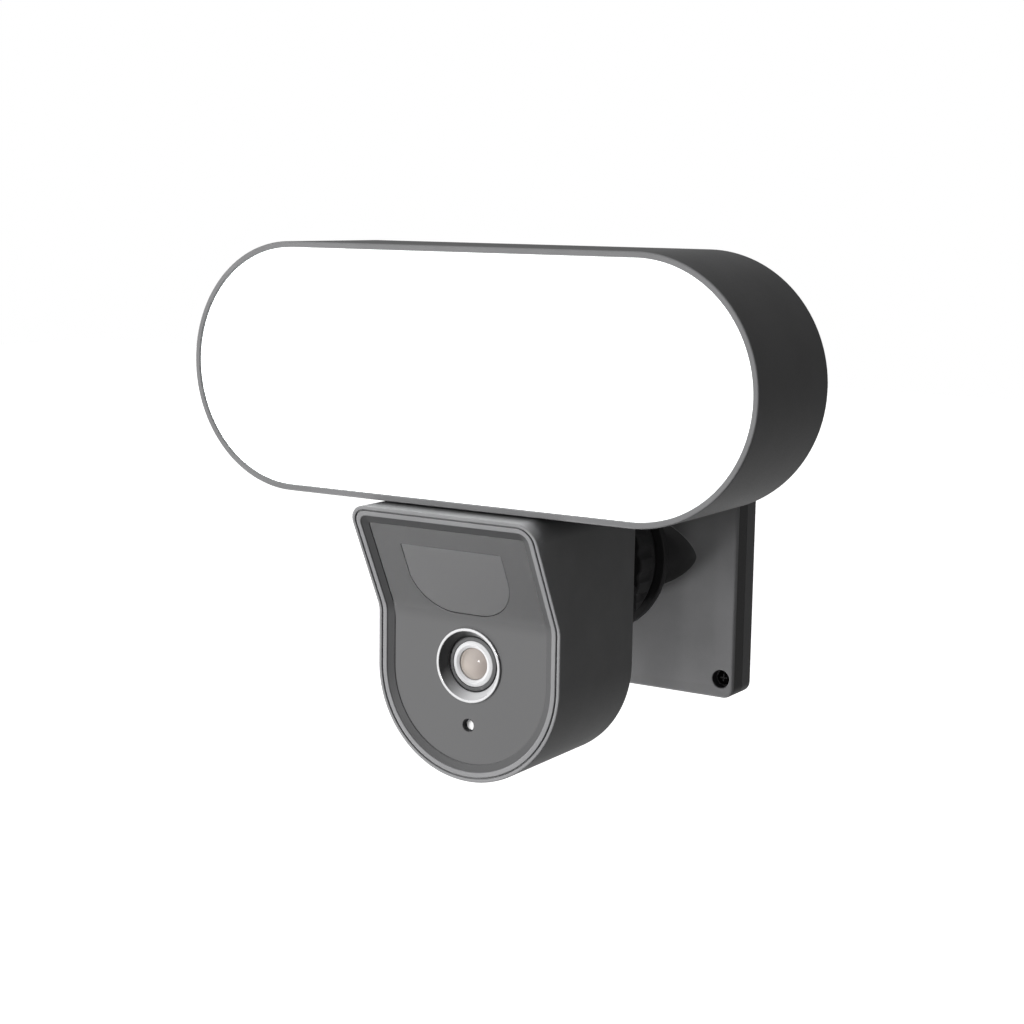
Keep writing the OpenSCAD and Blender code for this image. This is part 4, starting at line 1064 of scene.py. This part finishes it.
def area_light(name, place, size, power, colour=(1, 1, 1)):
    data = bpy.data.lights.new(name, "AREA")
    data.shape = "DISK"
    data.size = size
    data.energy = power
    data.color = colour
    light = bpy.data.objects.new(name, data)
    light.location = place
    light.rotation_mode = "QUATERNION"
    light.rotation_quaternion = (centre - Vector(place)).to_track_quat("-Z", "Y")
    bpy.context.scene.collection.objects.link(light)
    return light


key = area_light("key", (-1.3, -2.2, 0.9), 1.5, 88.0)
low_fill = area_light("low_fill", (-1.0, -0.8, -1.25), 0.6, 52.0)
for light in (key, low_fill):
    light.visible_glossy = False
area_light("front_soft", (0.4, -2.95, 0.35), 0.4, 9.0)

floor_mesh = bpy.data.meshes.new("floor")
floor_size = 14.0
floor_mesh.from_pydata(
    [(sx * floor_size, sy * floor_size, cad_box[0].z - FLOOR_DROP) for sx, sy in ((-1, -1), (1, -1), (1, 1), (-1, 1))],
    [], [(0, 1, 2, 3)],
)
floor = bpy.data.objects.new("floor", floor_mesh)
bpy.context.scene.collection.objects.link(floor)
floor_paint, _, floor_bsdf = shader("pale_floor")
floor_bsdf.inputs["Base Color"].default_value = (0.93, 0.93, 0.93, 1)
floor_bsdf.inputs["Roughness"].default_value = 0.9
floor_bsdf.inputs["Emission Color"].default_value = (1, 1, 1, 1)
floor_bsdf.inputs["Emission Strength"].default_value = 0.75
floor_mesh.materials.append(floor_paint)
floor.visible_diffuse = False
floor.visible_glossy = False

world = bpy.data.worlds.new("studio")
bpy.context.scene.world = world
world.use_nodes = True
sky = world.node_tree
background = sky.nodes["Background"]
place = sky.nodes.new("ShaderNodeTexCoord")


def lobe(direction, start, end, low, high):
    """A soft patch of light round a direction of the sky."""
    facing = sky.nodes.new("ShaderNodeVectorMath")
    facing.operation = "DOT_PRODUCT"
    facing.inputs[1].default_value = Vector(direction).normalized()
    sky.links.new(place.outputs["Generated"], facing.inputs[0])
    return ranged(sky, facing.outputs["Value"], low, high, start, end)


total = sky.nodes.new("ShaderNodeMath")
total.operation = "ADD"
sky.links.new(lobe((-0.75, -0.6, 0.3), 0.15, 0.8, 0.16, 1.25), total.inputs[0])
sky.links.new(lobe((-0.16, 0.83, -0.52), 0.78, 0.97, 0.0, 0.45), total.inputs[1])
amount = total.outputs["Value"]
ray = sky.nodes.new("ShaderNodeLightPath")
strength = sky.nodes.new("ShaderNodeMix")
strength.data_type = "FLOAT"
sky.links.new(ray.outputs["Is Camera Ray"], strength.inputs["Factor"])
sky.links.new(amount, strength.inputs["A"])
strength.inputs["B"].default_value = 1.0
sky.links.new(strength.outputs["Result"], background.inputs["Strength"])
background.inputs["Color"].default_value = (1, 1, 1, 1)

bpy.context.scene.view_settings.view_transform = "Standard"

CAMERA_AT = Vector((0.42619, -0.77649, 0.15084))
AZIMUTH, ELEVATION, ROLL = (math.radians(a) for a in (32.31, 8.87, 0.87))
forward = Vector((
    -math.sin(AZIMUTH) * math.cos(ELEVATION), math.cos(AZIMUTH) * math.cos(ELEVATION), -math.sin(ELEVATION),
))
right = forward.cross(Vector((0, 0, 1))).normalized()
up = right.cross(forward)
right, up = (
    right * math.cos(ROLL) + up * math.sin(ROLL),
    up * math.cos(ROLL) - right * math.sin(ROLL),
)
camera_data = bpy.data.cameras.new("camera")
camera_data.sensor_width = 36.0
camera_data.lens = 69.47
camera_data.clip_start = 0.01
camera_data.clip_end = 100.0
camera = bpy.data.objects.new("camera", camera_data)
turn = Matrix((right, up, -forward)).transposed()
camera.matrix_world = Matrix.Translation(CAMERA_AT) @ turn.to_4x4()
bpy.context.scene.collection.objects.link(camera)
bpy.context.scene.camera = camera
